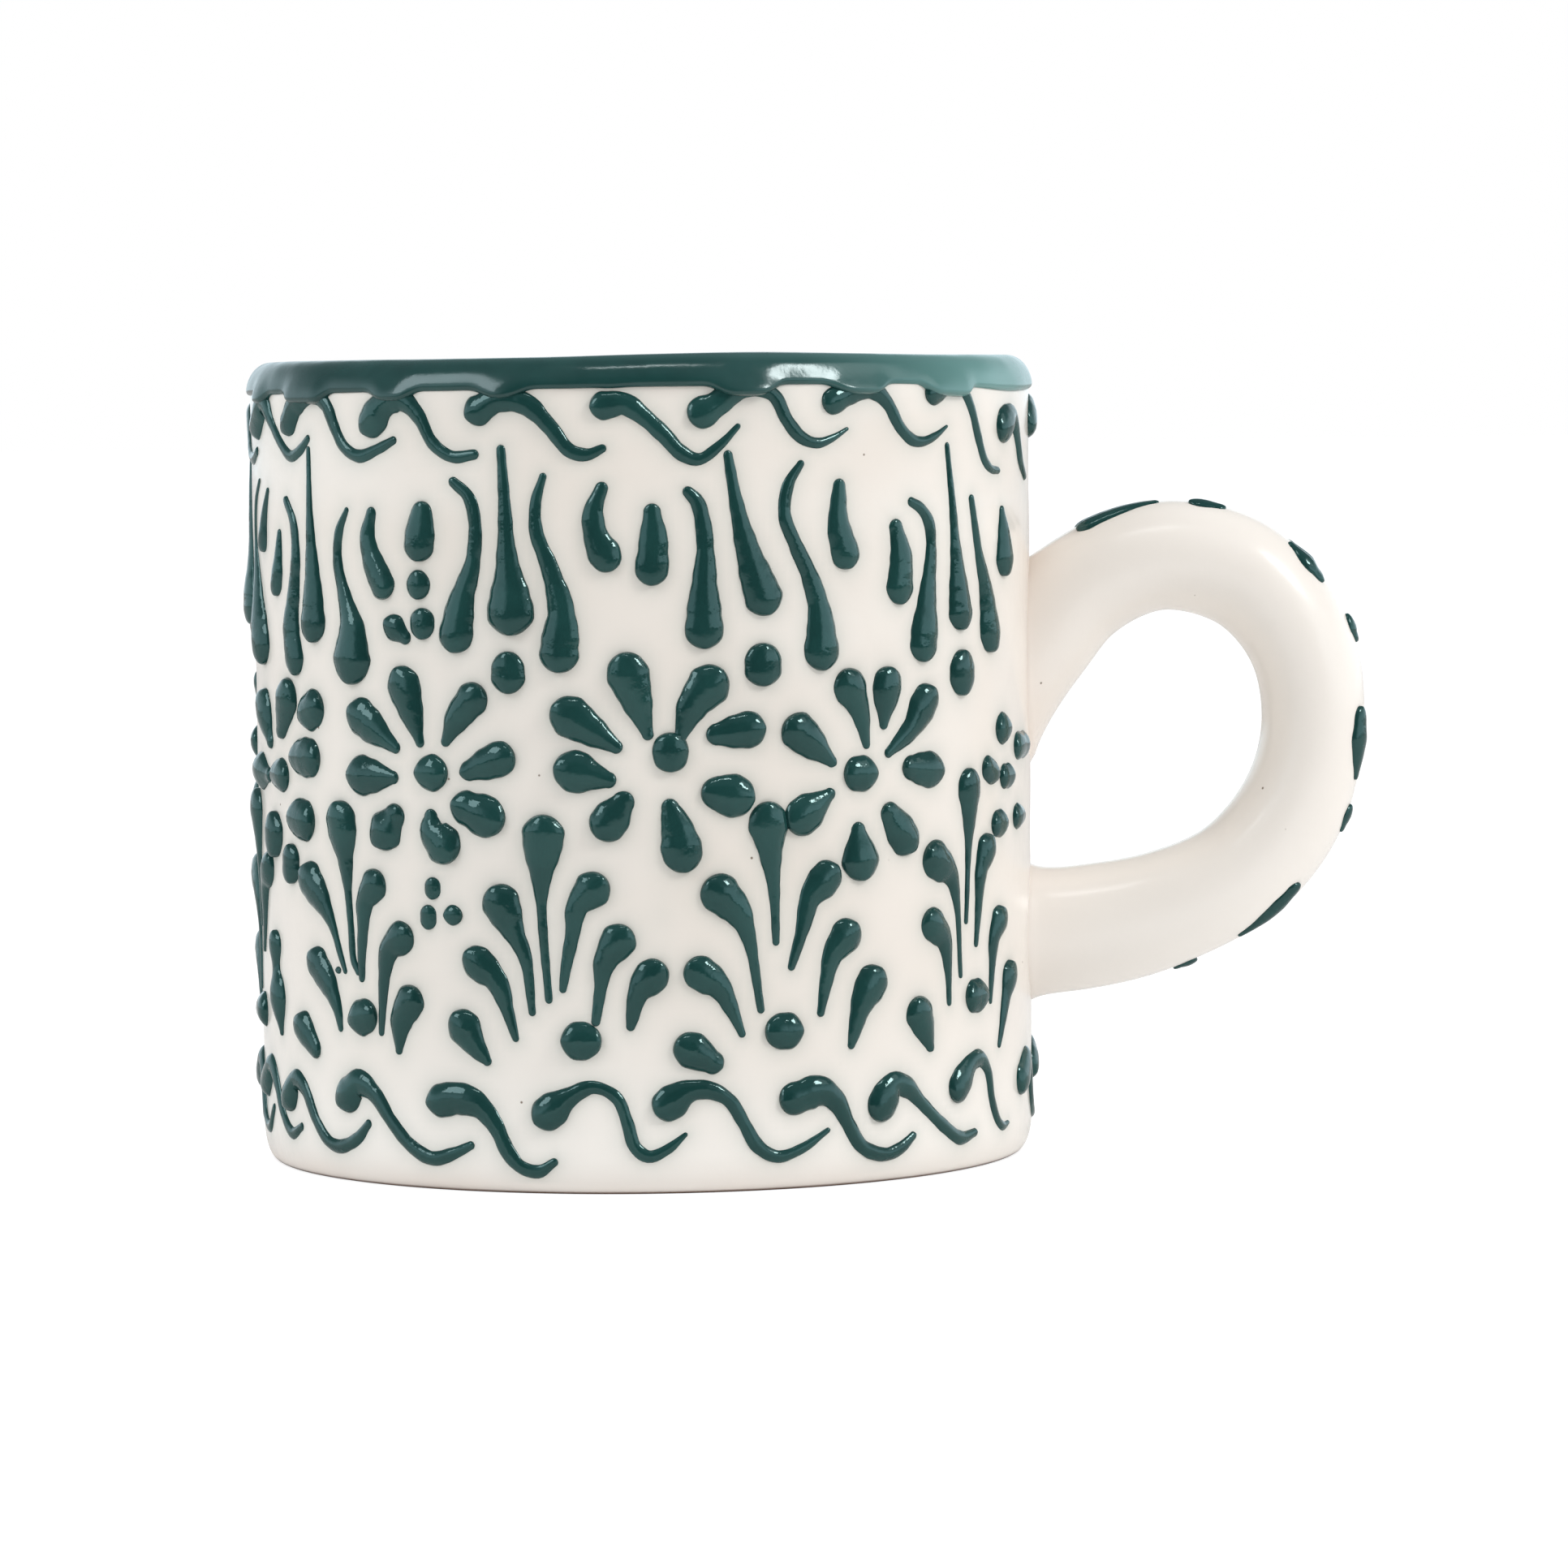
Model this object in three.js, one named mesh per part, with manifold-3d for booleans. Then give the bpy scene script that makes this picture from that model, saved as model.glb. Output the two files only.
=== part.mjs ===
// A pottery coffee cup with raised slip ornament: a thrown body, a round handle luted to its side,
// a glaze band over the lip, and beads of thick slip trailed on the wall and on the handle's back.
// Millimetres, +Z up. The origin is the middle of the base, the front is -Y and the handle is on +X.

import * as THREE from "three";
import { mergeVertices } from "three/addons/utils/BufferGeometryUtils.js";
import Module from "manifold-3d";

const wasm = await Module();
wasm.setup();

// Body
const CUP_HEIGHT = 85.2; // clay, from the base to the crest of the lip
const TOP_RADIUS = 42; // outside of the wall at the lip
const LOW_RADIUS = 41.6; // outside of the wall above the base edge
const BASE_EDGE_HEIGHT = 4; // rounded edge where the wall meets the base
const BASE_EDGE_INSET = 1.5; // how far that edge draws in at the base
const WALL = 4.5;
const LIP_HEIGHT = 3; // rounded top of the wall
const FLOOR = 6;
const FLOOR_FILLET = 8; // inside, between the wall and the floor

// Glaze band over the lip
const BAND_THICKNESS = 0.4;
const BAND_SKIRT_OUTSIDE = 0.3; // how far it runs down the wall below the lip's curve
const BAND_SKIRT_INSIDE = 2;

// Handle
const HANDLE_REACH = 30.4; // from the wall to the middle line of the grip
const HANDLE_CROWN = 64; // height of the middle line at its top
const HANDLE_FOOT = 23.2; // height of the middle line at the lower root
const HANDLE_THICKNESS = 12;
const HANDLE_FOOT_THICKNESS = 14; // at the lower root
const FOOT_SWELL_START = 0.65; // share of the handle's length where it begins to thicken towards there
const HANDLE_WIDTH = 13;
const ROOT_FLARE = 0.8; // how far each root spreads on the wall, on every side
const ROOT_FLARE_LENGTH = 2;

// Trailed slip
const BEAD_HALF_WIDTH = 2; // round head of a usual stroke
const BEAD_EDGE_RISE = 0.35; // height that even the thinnest bead has
const BEAD_CROWN = 0.28; // further height for each millimetre of half width
const BEAD_REACH = 4.6; // length in which a round head narrows to its tail
const SCROLL_TAIL = 0.3; // a scroll's tail, as a share of the bead's half width
const THREAD = 0.22; // threads that join a flower's petals or a spray's stems, as a share of it too
const DOT_LENGTH = 0.2; // length of the middle line of a dot
const SIDE_FLOWER_TURN = -71.5; // degrees from the second flower of the front to the one on the side
const SIDE_SPRAY_TURN = -99.5; // degrees from the third spray of the front to the one on the side

// Room left between a piece and what it sits on
const SEAT_GAP = 0.3;

// Facets
const WALL_SIDES = 56;
const LIP_STEPS = 4;
const BASE_EDGE_STEPS = 4;
const FILLET_STEPS = 4;
const HANDLE_STEPS = 24;
const HANDLE_SIDES = 12;
const WALL_BEAD_STEP = 5; // spacing of a bead's cross sections on the wall
const SCROLL_BEAD_STEP = 3.2; // in the borders, which bend more
const HANDLE_BEAD_STEP = 2; // and on the handle
const CAP_SHARE = 0.8; // how much of its round ends a bead keeps
const MERGE_DISTANCE = 1e-4; // corners nearer than this are one corner

const HALF_TURN = 180; // degrees

const cream = { color: 0xece6de, roughness: 0.2, metalness: 0 };
const green = { color: 0x234b48, roughness: 0.16, metalness: 0 };

// Closed solids

// Skin over a row of closed rings, with a flat fan over each end. Each ring turns anticlockwise about
// the direction in which the row runs.
function loft(rings) {
  const sides = rings[0].length;
  const last = (rings.length - 1) * sides;
  const faces = [];
  for (let row = 0; row < rings.length - 1; row += 1) {
    for (let side = 0; side < sides; side += 1) {
      const next = (side + 1) % sides;
      const a = row * sides + side;
      const b = row * sides + next;
      faces.push(a, b, b + sides, a, b + sides, a + sides);
    }
  }
  for (let side = 1; side < sides - 1; side += 1) {
    faces.push(0, side + 1, side);
    faces.push(last, last + side, last + side + 1);
  }
  const geometry = new THREE.BufferGeometry().setFromPoints(rings.flat());
  geometry.setIndex(faces);
  return geometry;
}

function solidOf(geometry) {
  const bare = geometry.clone();
  bare.deleteAttribute("normal");
  bare.deleteAttribute("uv");
  const merged = mergeVertices(bare, MERGE_DISTANCE);
  return new wasm.Manifold(new wasm.Mesh({
    numProp: 3,
    vertProperties: new Float32Array(merged.attributes.position.array),
    triVerts: new Uint32Array(merged.index.array),
  }));
}

function geometryOf(solid) {
  const mesh = solid.getMesh();
  const geometry = new THREE.BufferGeometry();
  geometry.setAttribute("position", new THREE.BufferAttribute(mesh.vertProperties, 3));
  geometry.setIndex(new THREE.BufferAttribute(mesh.triVerts, 1));
  return geometry;
}

function joined(geometries) {
  return geometryOf(geometries.map(solidOf).reduce((whole, bead) => whole.add(bead)));
}

// Revolves a profile of [radius, height] points about the cup's axis.
function turned(profile) {
  const points = profile.map(([radius, height]) => new THREE.Vector2(radius, height));
  return new THREE.LatheGeometry(points, WALL_SIDES).rotateX(Math.PI / 2);
}

// Body

// Outside radius of the wall: a slight widening to the lip, and a quarter ellipse at the base edge.
function wallRadius(z) {
  const straight = THREE.MathUtils.lerp(LOW_RADIUS, TOP_RADIUS, z / CUP_HEIGHT);
  const below = THREE.MathUtils.clamp(1 - z / BASE_EDGE_HEIGHT, 0, 1);
  return straight - BASE_EDGE_INSET * (1 - Math.sqrt(1 - below * below));
}

const lipBase = CUP_HEIGHT - LIP_HEIGHT;
const lipMiddle = wallRadius(lipBase) - WALL / 2;
const bandEdge = lipBase - BAND_SKIRT_OUTSIDE;

// Half ellipse over the lip, from the outside to the inside, standing off the clay by an offset.
function lipArc(offset) {
  const halfWidth = WALL / 2 + offset;
  const height = LIP_HEIGHT + offset;
  return Array.from({ length: LIP_STEPS + 1 }, (_, step) => {
    const angle = (Math.PI * step) / LIP_STEPS;
    return [lipMiddle + halfWidth * Math.cos(angle), lipBase + height * Math.sin(angle)];
  });
}

// The base edge from the base up to the wall, standing off the clay by an offset.
function baseEdge(offset) {
  return Array.from({ length: BASE_EDGE_STEPS + 1 }, (_, step) => {
    const angle = (Math.PI / 2) * (step / BASE_EDGE_STEPS);
    const z = BASE_EDGE_HEIGHT * (1 - Math.cos(angle));
    return [wallRadius(z) + offset, z];
  });
}

function bodyGeometry() {
  const insideRadius = lipMiddle - WALL / 2;
  const fillet = Array.from({ length: FILLET_STEPS + 1 }, (_, step) => {
    const angle = (Math.PI / 2) * (step / FILLET_STEPS);
    return [
      insideRadius - FLOOR_FILLET * (1 - Math.cos(angle)),
      FLOOR + FLOOR_FILLET * (1 - Math.sin(angle)),
    ];
  });
  return turned([[0, 0], ...baseEdge(0), ...lipArc(0), ...fillet, [0, FLOOR]]);
}

function bandGeometry() {
  const outer = lipArc(SEAT_GAP + BAND_THICKNESS);
  const inner = lipArc(SEAT_GAP).reverse();
  const insideEdge = lipBase - BAND_SKIRT_INSIDE;
  const profile = [
    [outer[0][0], bandEdge],
    ...outer,
    [outer[LIP_STEPS][0], insideEdge],
    [inner[0][0], insideEdge],
    ...inner,
    [inner[LIP_STEPS][0], bandEdge],
  ];
  return turned([...profile, profile[0]]);
}

// Handle

// Middle line of the handle as [share of the reach, share of the rise from foot to crown], from inside
// the wall at the upper root, over the crown and down to inside the wall at the lower root.
const handleLine = new THREE.CatmullRomCurve3(
  [
    [-0.3, 0.4], [0.02, 0.772], [0.18, 0.917], [0.46, 1], [0.76, 0.941], [0.955, 0.77],
    [1, 0.56], [0.93, 0.338], [0.74, 0.167], [0.46, 0.064], [0.16, 0.015], [-0.2, 0],
  ].map(([out, up]) => new THREE.Vector3(
    TOP_RADIUS + out * HANDLE_REACH,
    0,
    THREE.MathUtils.lerp(HANDLE_FOOT, HANDLE_CROWN, up),
  )),
);
const handleLength = handleLine.getLength();

// The handle's section at a share of its length: the middle, the direction of the back, and the half
// thickness and half width, which spread towards the wall.
function handleSection(share) {
  const middle = handleLine.getPointAt(share);
  const along = handleLine.getTangentAt(share);
  const back = new THREE.Vector3(-along.z, 0, along.x);
  const lowerPart = THREE.MathUtils.smoothstep(share, FOOT_SWELL_START, 1);
  const offWall = Math.max(0, middle.x - wallRadius(middle.z));
  const flare = ROOT_FLARE * Math.exp(-offWall / ROOT_FLARE_LENGTH);
  return {
    middle,
    back,
    thick: THREE.MathUtils.lerp(HANDLE_THICKNESS, HANDLE_FOOT_THICKNESS, lowerPart) / 2 + flare,
    wide: HANDLE_WIDTH / 2 + flare,
  };
}

// A point above the handle's skin, at an angle from its back towards the front of the cup.
function onHandleSkin(share, angle, lift) {
  const { middle, back, thick, wide } = handleSection(share);
  const point = middle.clone().addScaledVector(back, (thick + lift) * Math.cos(angle));
  point.y -= (wide + lift) * Math.sin(angle);
  return point;
}

function handleGeometry() {
  const rings = Array.from({ length: HANDLE_STEPS + 1 }, (_, step) =>
    Array.from({ length: HANDLE_SIDES }, (_, side) =>
      onHandleSkin(step / HANDLE_STEPS, (2 * Math.PI * side) / HANDLE_SIDES, 0)));
  const top = [TOP_RADIUS + SEAT_GAP, CUP_HEIGHT];
  const wall = turned([[0, 0], ...baseEdge(SEAT_GAP), top, [0, CUP_HEIGHT]]);
  return geometryOf(solidOf(loft(rings)).subtract(solidOf(wall)));
}

// Trailed slip

// A stroke of slip: its round head and its tail as shares of the bead's half width, and the points of
// its middle line from the head to the end of the tail.
function stroke(head, tail, ...points) {
  return {
    head: head * BEAD_HALF_WIDTH,
    tail: tail * BEAD_HALF_WIDTH,
    points: points.map(([across, up]) => new THREE.Vector2(across, up)),
  };
}

function scroll(head, ...points) {
  return stroke(head, SCROLL_TAIL, ...points);
}

function dot(size, across, up) {
  return stroke(size, size, [across, up + DOT_LENGTH / 2], [across, up - DOT_LENGTH / 2]);
}

// Cross sections along a stroke: a blunted half circle over the head, a bell-shaped narrowing into the
// tail, and a blunted half circle over the end.
function stations({ head, tail, points }, spacing) {
  const line = new THREE.SplineCurve(points);
  const length = line.getLength();
  const halfAt = (distance) => tail + (head - tail) * Math.exp(-((distance / BEAD_REACH) ** 2));
  const steps = Math.max(1, Math.round(length / spacing));
  const sections = [];
  const capAt = (at, along, half, share) => ({
    at: at.clone().addScaledVector(along, share * half),
    along,
    half: half * Math.sqrt(1 - share * share),
  });
  sections.push(capAt(points[0], line.getTangentAt(0), head, -CAP_SHARE));
  for (let step = 0; step <= steps; step += 1) {
    const share = step / steps;
    sections.push({
      at: line.getPointAt(share),
      along: line.getTangentAt(share),
      half: halfAt(share * length),
    });
  }
  const end = sections[sections.length - 1];
  sections.push(capAt(end.at, end.along, end.half, CAP_SHARE));
  return sections;
}

// Cross section of a bead as [share of the half width, share of the rise], and the same with a middle
// point underneath, which keeps it clear of a strongly curved skin.
const FLAT_SECTION = [[1, 0], [0.6, 1], [-0.6, 1], [-1, 0]];
const SADDLE_SECTION = [...FLAT_SECTION, [0, 0]];

// A low bead of slip over a stroke, on the skin that place(across, up, lift) gives.
function bead(drawn, place, section, spacing, ceiling = Infinity) {
  const rings = stations(drawn, spacing).map(({ at, along, half }) => {
    const rise = BEAD_EDGE_RISE + BEAD_CROWN * half;
    const up = Math.min(at.y, ceiling - half);
    return section.map(([side, height]) => place(
      at.x - along.y * side * half,
      up + along.x * side * half,
      SEAT_GAP + height * rise,
    ));
  });
  return loft(rings);
}

// Ornament of the wall. Each point is [degrees from the middle of the front towards the handle, height].
// Half of each border is drawn, and the other half is the same, half a turn further on.
const upperScrolls = [
  scroll(0.9, [-73.6, 79.3], [-69.5, 80.9], [-64.8, 77.4],
    [-60, 75.6], [-54.5, 77.4], [-48.5, 79.6]),
  scroll(0.8, [-60.3, 79.3], [-56.6, 81.1], [-50.5, 81.3], [-46.8, 77.7],
    [-42.5, 75.7], [-35.7, 77.4], [-30, 78.4]),
  scroll(0.95, [-39.5, 79.4], [-36.1, 81.1], [-31.9, 80.2], [-29, 77],
    [-25.9, 75.7], [-22.2, 76.4], [-21, 79.4]),
  scroll(0.8, [-22.1, 80.3], [-18.4, 81], [-14.3, 80.7], [-10.1, 77.3],
    [-6.8, 75.7], [-3.8, 76.4], [-0.5, 79.8]),
  scroll(0.75, [-3.5, 80.7], [0, 80.6], [4.5, 78],
    [8.9, 75.2], [13, 77.2], [15.3, 80.6]),
  scroll(0.85, [10.1, 79.7], [13.2, 80.9], [18.3, 81], [22.6, 78.1],
    [26.6, 76.7], [30.5, 77.7], [32.5, 80.4]),
  scroll(0.65, [29.3, 80.6], [34.8, 81.1], [39.3, 79.9], [42.3, 77.1],
    [46.4, 76.7], [49.9, 77.9], [51.1, 80.3]),
  scroll(0.65, [47.6, 80.5], [52.5, 81.2], [56.6, 79.7], [59.5, 75.5],
    [62.5, 73.6], [65, 74], [66.3, 77]),
  scroll(1, [66.8, 78.3], [70.2, 79.3], [73.6, 76],
    [78.1, 73.2], [81.5, 74.4], [84.3, 77.4]),
  scroll(0.95, [85.9, 78.6], [89.3, 80.2], [93, 78.4],
    [96.8, 75.7], [101.5, 76.4], [106.4, 78.4]),
];
const lowerScrolls = [
  scroll(0.9, [-76.4, 9.2], [-73, 11], [-69.5, 9], [-67.2, 6.2],
    [-63.4, 4.4], [-59.7, 5.6], [-58.4, 8.8]),
  scroll(0.95, [-63.7, 8.4], [-61.1, 10.2], [-57.5, 9.2], [-53.7, 5.4],
    [-49.1, 3.8], [-43.9, 5.6], [-41.7, 9.2]),
  scroll(1, [-47.5, 9.6], [-44.2, 10.8], [-40.6, 9.3], [-36.1, 5.6],
    [-30.8, 3.8], [-25.6, 5.2], [-23.3, 8.8]),
  scroll(0.9, [-29.5, 9.6], [-25.1, 9.9], [-21.3, 7.6], [-18.5, 4],
    [-15, 2.6], [-12.5, 3.8], [-11.7, 7.4]),
  scroll(0.95, [-13.1, 8.8], [-10, 10.3], [-6.3, 11.1], [-3, 9.7],
    [-1.4, 6.2], [1.4, 4.4], [4.9, 5.8], [5.7, 8.4]),
  scroll(0.9, [4.4, 9.6], [7.9, 11.2], [12.3, 10.1], [15.7, 5.9],
    [19.5, 3.8], [24.8, 5.2], [26.6, 9.4]),
  scroll(0.9, [22.4, 9.7], [26.2, 10.4], [29.6, 8.4], [32.7, 4.6],
    [36.8, 3.2], [40.9, 4.4], [43.4, 7.9]),
  scroll(0.95, [36.4, 8.5], [38.6, 10.2], [41.7, 9.6], [46.9, 6.2],
    [52.6, 3.8], [57.3, 4.4], [60.7, 7]),
  scroll(0.95, [51.7, 9.4], [55.1, 11.6], [58.6, 11.4], [61.1, 7],
    [64.9, 3.5], [69.5, 4.4], [73.1, 7.6]),
  scroll(0.95, [74.3, 8.7], [77.5, 10.6], [80.5, 9.2], [83.5, 5.6],
    [87.3, 4], [90.8, 5.4], [91.6, 8]),
  scroll(0.95, [90.8, 9.2], [94.1, 10.8], [97.4, 8.8], [100.4, 5.2],
    [103.9, 4.2], [106.9, 5.4], [105.8, 8]),
];

// Groups of three long drops. Each stroke runs from its bulb up to the end of its tail.
const dropTriples = [
  [
    stroke(0.95, 0.28, [-59.6, 55], [-60, 60.5], [-58.6, 67], [-61.2, 71.2]),
    stroke(1.15, 0.23, [-53.9, 58.6], [-54, 64], [-54.4, 75.2]),
    stroke(1.35, 0.23, [-44.9, 55], [-45.3, 60], [-47.5, 65.5], [-45.1, 70.3]),
  ],
  [
    stroke(1, 0.3, [-25.5, 57.6], [-23.7, 62.8], [-22.6, 69.4], [-25.8, 73]),
    stroke(1.2, 0.23, [-17.5, 60], [-18, 66], [-18.5, 75.4]),
    stroke(1.05, 0.25, [-10.8, 55.8], [-10.9, 62], [-13.6, 68.6], [-12.4, 73.2]),
  ],
  [
    stroke(1, 0.33, [9.8, 58], [10.1, 65.5], [9.3, 70.8], [7.8, 72]),
    stroke(1, 0.3, [18.1, 61.2], [15.4, 67.5], [13.5, 74]),
    stroke(0.95, 0.3, [27, 55.6], [26.2, 61.6], [21.7, 68.6], [23.7, 74.2]),
  ],
  [
    stroke(1.05, 0.35, [44.7, 56.3], [46.4, 63], [46.4, 69], [42.8, 70.6]),
    stroke(1, 0.25, [53.3, 59.2], [52.2, 66], [50.3, 75.4]),
    stroke(1.05, 0.3, [61.4, 57], [58.9, 64], [56.3, 70.4]),
  ],
];
const sideTriple = [
  stroke(1, 0.3, [-93, 57.6], [-91.4, 62.8], [-90.5, 69.4], [-93.5, 73]),
  stroke(1.2, 0.23, [-85.6, 60], [-86.2, 66], [-86.7, 75.2]),
  stroke(1.3, 0.25, [-73.9, 56.8], [-75.8, 62], [-78.5, 67.6], [-75, 73]),
];

// Flowers: the middle dot, and each petal from its round head to its tip. The tips run on into the dot.
function flower(middle, ...petals) {
  const [, across, up] = middle;
  const strokes = petals.map(([head, from, to]) => stroke(head, THREAD, from, to, [across, up]));
  return [dot(...middle), ...strokes];
}

const flowers = [
  flower(
    [1.05, -65.2, 42.4],
    [1.1, [-61.8, 50.2], [-63.8, 46.6]],
    [1.05, [-54.8, 49.6], [-59, 46.6]],
    [1.05, [-55.4, 43.9], [-60, 43.2]],
    [1.15, [-57.7, 37.7], [-61.1, 39.8]],
    [1, [-61.8, 33], [-63.8, 37]],
    [1.05, [-69.5, 36], [-67.4, 39.6]],
    [1, [-75, 42.4], [-70.9, 42.2]],
    [1.1, [-72.3, 48.8], [-68.7, 45.4]],
  ),
  flower(
    [0.97, -30.1, 43.3],
    [1.02, [-35, 52.2], [-32.2, 46.4]],
    [0.88, [-23.6, 50.9], [-27.8, 46.6]],
    [0.93, [-19.8, 44.8], [-24.8, 43.4]],
    [1.05, [-21.4, 39], [-25.9, 40.8]],
    [1.05, [-28.4, 36], [-29.9, 40.2]],
    [1.05, [-38.6, 37.2], [-34.6, 40.2]],
    [1.07, [-42.8, 42.8], [-36.3, 42.9]],
    [1.05, [-43, 48.8], [-36, 45.5]],
  ),
  flower(
    [1, 4.9, 45.5],
    [1.1, [-0.8, 53.6], [2.2, 47.8]],
    [1.05, [10.1, 52], [6.5, 47.8]],
    [0.97, [15.7, 47.6], [9.8, 46.6]],
    [1.05, [13.6, 40.9], [9, 43]],
    [1.05, [6.4, 35.3], [5, 41]],
    [1, [-4, 38.2], [0.5, 42]],
    [1.07, [-8.6, 43.6], [-1.9, 43.8]],
    [1.1, [-9.4, 49.1], [-2.2, 46.2]],
  ),
  flower(
    [1, 33.1, 42.8],
    [0.97, [31.5, 51.8], [33.8, 46.2]],
    [0.95, [37.9, 51.7], [36.3, 46.8]],
    [1, [44.6, 49.9], [37.6, 45]],
    [1, [45.8, 42.6], [39.5, 42.9]],
    [1.05, [40.9, 36], [36.8, 39.4]],
    [1.1, [32.9, 33.9], [33, 38.4]],
    [0.9, [25.2, 38.8], [29.5, 40.9]],
    [1.02, [23.5, 47.2], [28.9, 44.2]],
  ),
];

// Sprays: the root dot, and each stem from its round head down to its tail, which runs on to the root.
function spray(root, ...stems) {
  const [, across, up] = root;
  const strokes = stems.map(([head, ...points]) => stroke(head, THREAD, ...points, [across, up]));
  return [dot(...root), ...strokes];
}

const sprays = [
  spray(
    [1.05, -43.6, 17.6],
    [1.25, [-47.6, 37.8], [-46.2, 30.5], [-44.6, 22.4]],
    [1.05, [-55.1, 31.3], [-50.5, 27.6], [-46.6, 21.6]],
    [0.9, [-41.2, 31.4], [-43.5, 27], [-43.5, 21.7]],
    [0.95, [-53.7, 22.6], [-49.9, 20], [-47.5, 17.6]],
    [0.9, [-36.5, 26.4], [-39.5, 22.4], [-40.4, 18.6]],
    [0.95, [-34.4, 19.8], [-36.8, 17.2], [-40.4, 16.6]],
  ),
  spray(
    [1.05, -8, 16.1],
    [1.15, [-13.1, 36.9], [-13.2, 30], [-12.3, 20.6]],
    [1.05, [-19.2, 30.1], [-15.7, 24.6], [-12.8, 18.4]],
    [0.95, [-6.7, 31.6], [-9.5, 27], [-10.1, 20.6]],
    [0.9, [-23.5, 23.9], [-19, 20], [-13.1, 16.4]],
    [0.9, [-3.1, 26.2], [-5.5, 22.2], [-6.7, 18.2]],
    [0.9, [1.5, 22.5], [-1.1, 19.4], [-4.4, 16.6]],
  ),
  spray(
    [1.05, 20.9, 16.7],
    [1, [18.7, 38], [19.1, 31], [19.9, 22]],
    [1.05, [11.9, 31], [15.8, 26], [18.5, 19]],
    [0.9, [27, 32.2], [23.3, 27.4], [21.7, 21.4]],
    [0.9, [9, 22.9], [13.1, 19.8], [17.2, 17.2]],
    [0.95, [30.1, 26.2], [27, 22], [24.3, 18.2]],
    [1, [34.5, 20.9], [31.6, 17.2], [26.2, 16]],
  ),
  spray(
    [1.05, 56.5, 18.7],
    [1, [54.7, 40.6], [54.7, 34], [55.4, 24]],
    [1.05, [47, 33.3], [51.7, 28.8], [54, 21]],
    [0.9, [59.5, 33.8], [57.3, 29], [56.7, 23]],
    [0.9, [46.2, 26.5], [49.4, 22.4], [52.6, 19.4]],
    [0.85, [63.4, 26.2], [61.1, 22], [59.5, 19.6]],
    [0.9, [67.4, 19.9], [64.6, 16.6], [60.5, 17.4]],
  ),
];

// The drawing is stretched in height so that its tallest scroll comes up to the glaze band.
const drawnTop = Math.max(...upperScrolls.flatMap(({ points }) => points.map((point) => point.y)));
const scrollCeiling = bandEdge - SEAT_GAP;
const stretch = (scrollCeiling - SEAT_GAP) / drawnTop;

// A stroke of the wall as it lies on the wall unrolled: millimetres round it, and height.
function unrolled({ head, tail, points }, turn) {
  const flat = ({ x, y }) =>
    new THREE.Vector2(THREE.MathUtils.degToRad(x + turn) * TOP_RADIUS, y * stretch);
  return { head, tail, points: points.map(flat) };
}

function onWall(around, up, lift) {
  const angle = around / TOP_RADIUS;
  const radius = wallRadius(up) + lift;
  return new THREE.Vector3(radius * Math.sin(angle), -radius * Math.cos(angle), up);
}

function wallBeads(strokes, turn) {
  return joined(strokes.map((drawn) => bead(unrolled(drawn, turn), onWall, FLAT_SECTION, WALL_BEAD_STEP)));
}

function borderBeads(strokes) {
  const beads = [0, HALF_TURN].flatMap((turn) => strokes.map((drawn) =>
    bead(unrolled(drawn, turn), onWall, FLAT_SECTION, SCROLL_BEAD_STEP, scrollCeiling)));
  return joined(beads);
}

// Strokes on the back of the handle: shares of the bead's half width, then the head and the end of the
// tail as [share of the handle's length, degrees from the middle of the back]. Each has its mirror on
// the far side.
const handleStrokes = [
  { head: 0.75, tail: 0.25, from: [0.27, 34], to: [0.324, 20] },
  { head: 0.7, tail: 0.3, from: [0.445, 30], to: [0.418, 24] },
  { head: 0.8, tail: 0.25, from: [0.577, 30], to: [0.61, 22] },
  { head: 0.75, tail: 0.25, from: [0.713, 32], to: [0.767, 22] },
];

function handleStrokeGeometry({ head, tail, from, to }, side) {
  const degreeLength = (Math.PI / 180) * (HANDLE_WIDTH / 2);
  const flat = ([share, degrees]) => [side * degrees * degreeLength, share * handleLength];
  const place = (around, along, lift) =>
    onHandleSkin(along / handleLength, around / (HANDLE_WIDTH / 2), lift);
  return bead(stroke(head, tail, flat(from), flat(to)), place, SADDLE_SECTION, HANDLE_BEAD_STEP);
}

// Assembly

const cup = new THREE.Group();

function addPiece(name, geometry, finish) {
  geometry.computeVertexNormals();
  const mesh = new THREE.Mesh(geometry, new THREE.MeshStandardMaterial(finish));
  mesh.name = name;
  cup.add(mesh);
}

addPiece("cup_body", bodyGeometry(), cream);
addPiece("handle", handleGeometry(), cream);
addPiece("rim_band", bandGeometry(), green);
addPiece("upper_scroll_border", borderBeads(upperScrolls), green);
addPiece("lower_scroll_border", borderBeads(lowerScrolls), green);

// The groups on the front and the same on the back, and one more group of each kind on the side
// opposite the handle.
function addGroups(groups, sideGroup, sideTurn, add) {
  groups.forEach((group, index) => {
    add(`front_${index + 1}`, group, 0);
    add(`back_${index + 1}`, group, HALF_TURN);
  });
  add("side", sideGroup, sideTurn);
}

addGroups(dropTriples, sideTriple, 0, (place, triple, turn) => {
  ["left", "middle", "right"].forEach((side, index) => {
    addPiece(`long_drop_${place}_${side}`, wallBeads([triple[index]], turn), green);
  });
});
addGroups(flowers, flowers[1], SIDE_FLOWER_TURN, (place, strokes, turn) => {
  addPiece(`flower_${place}`, wallBeads(strokes, turn), green);
});
addGroups(sprays, sprays[2], SIDE_SPRAY_TURN, (place, strokes, turn) => {
  addPiece(`spray_${place}`, wallBeads(strokes, turn), green);
});

handleStrokes.forEach((drawn, index) => {
  addPiece(`handle_stroke_${index + 1}_near`, handleStrokeGeometry(drawn, 1), green);
  addPiece(`handle_stroke_${index + 1}_far`, handleStrokeGeometry(drawn, -1), green);
});

export default cup;
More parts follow.
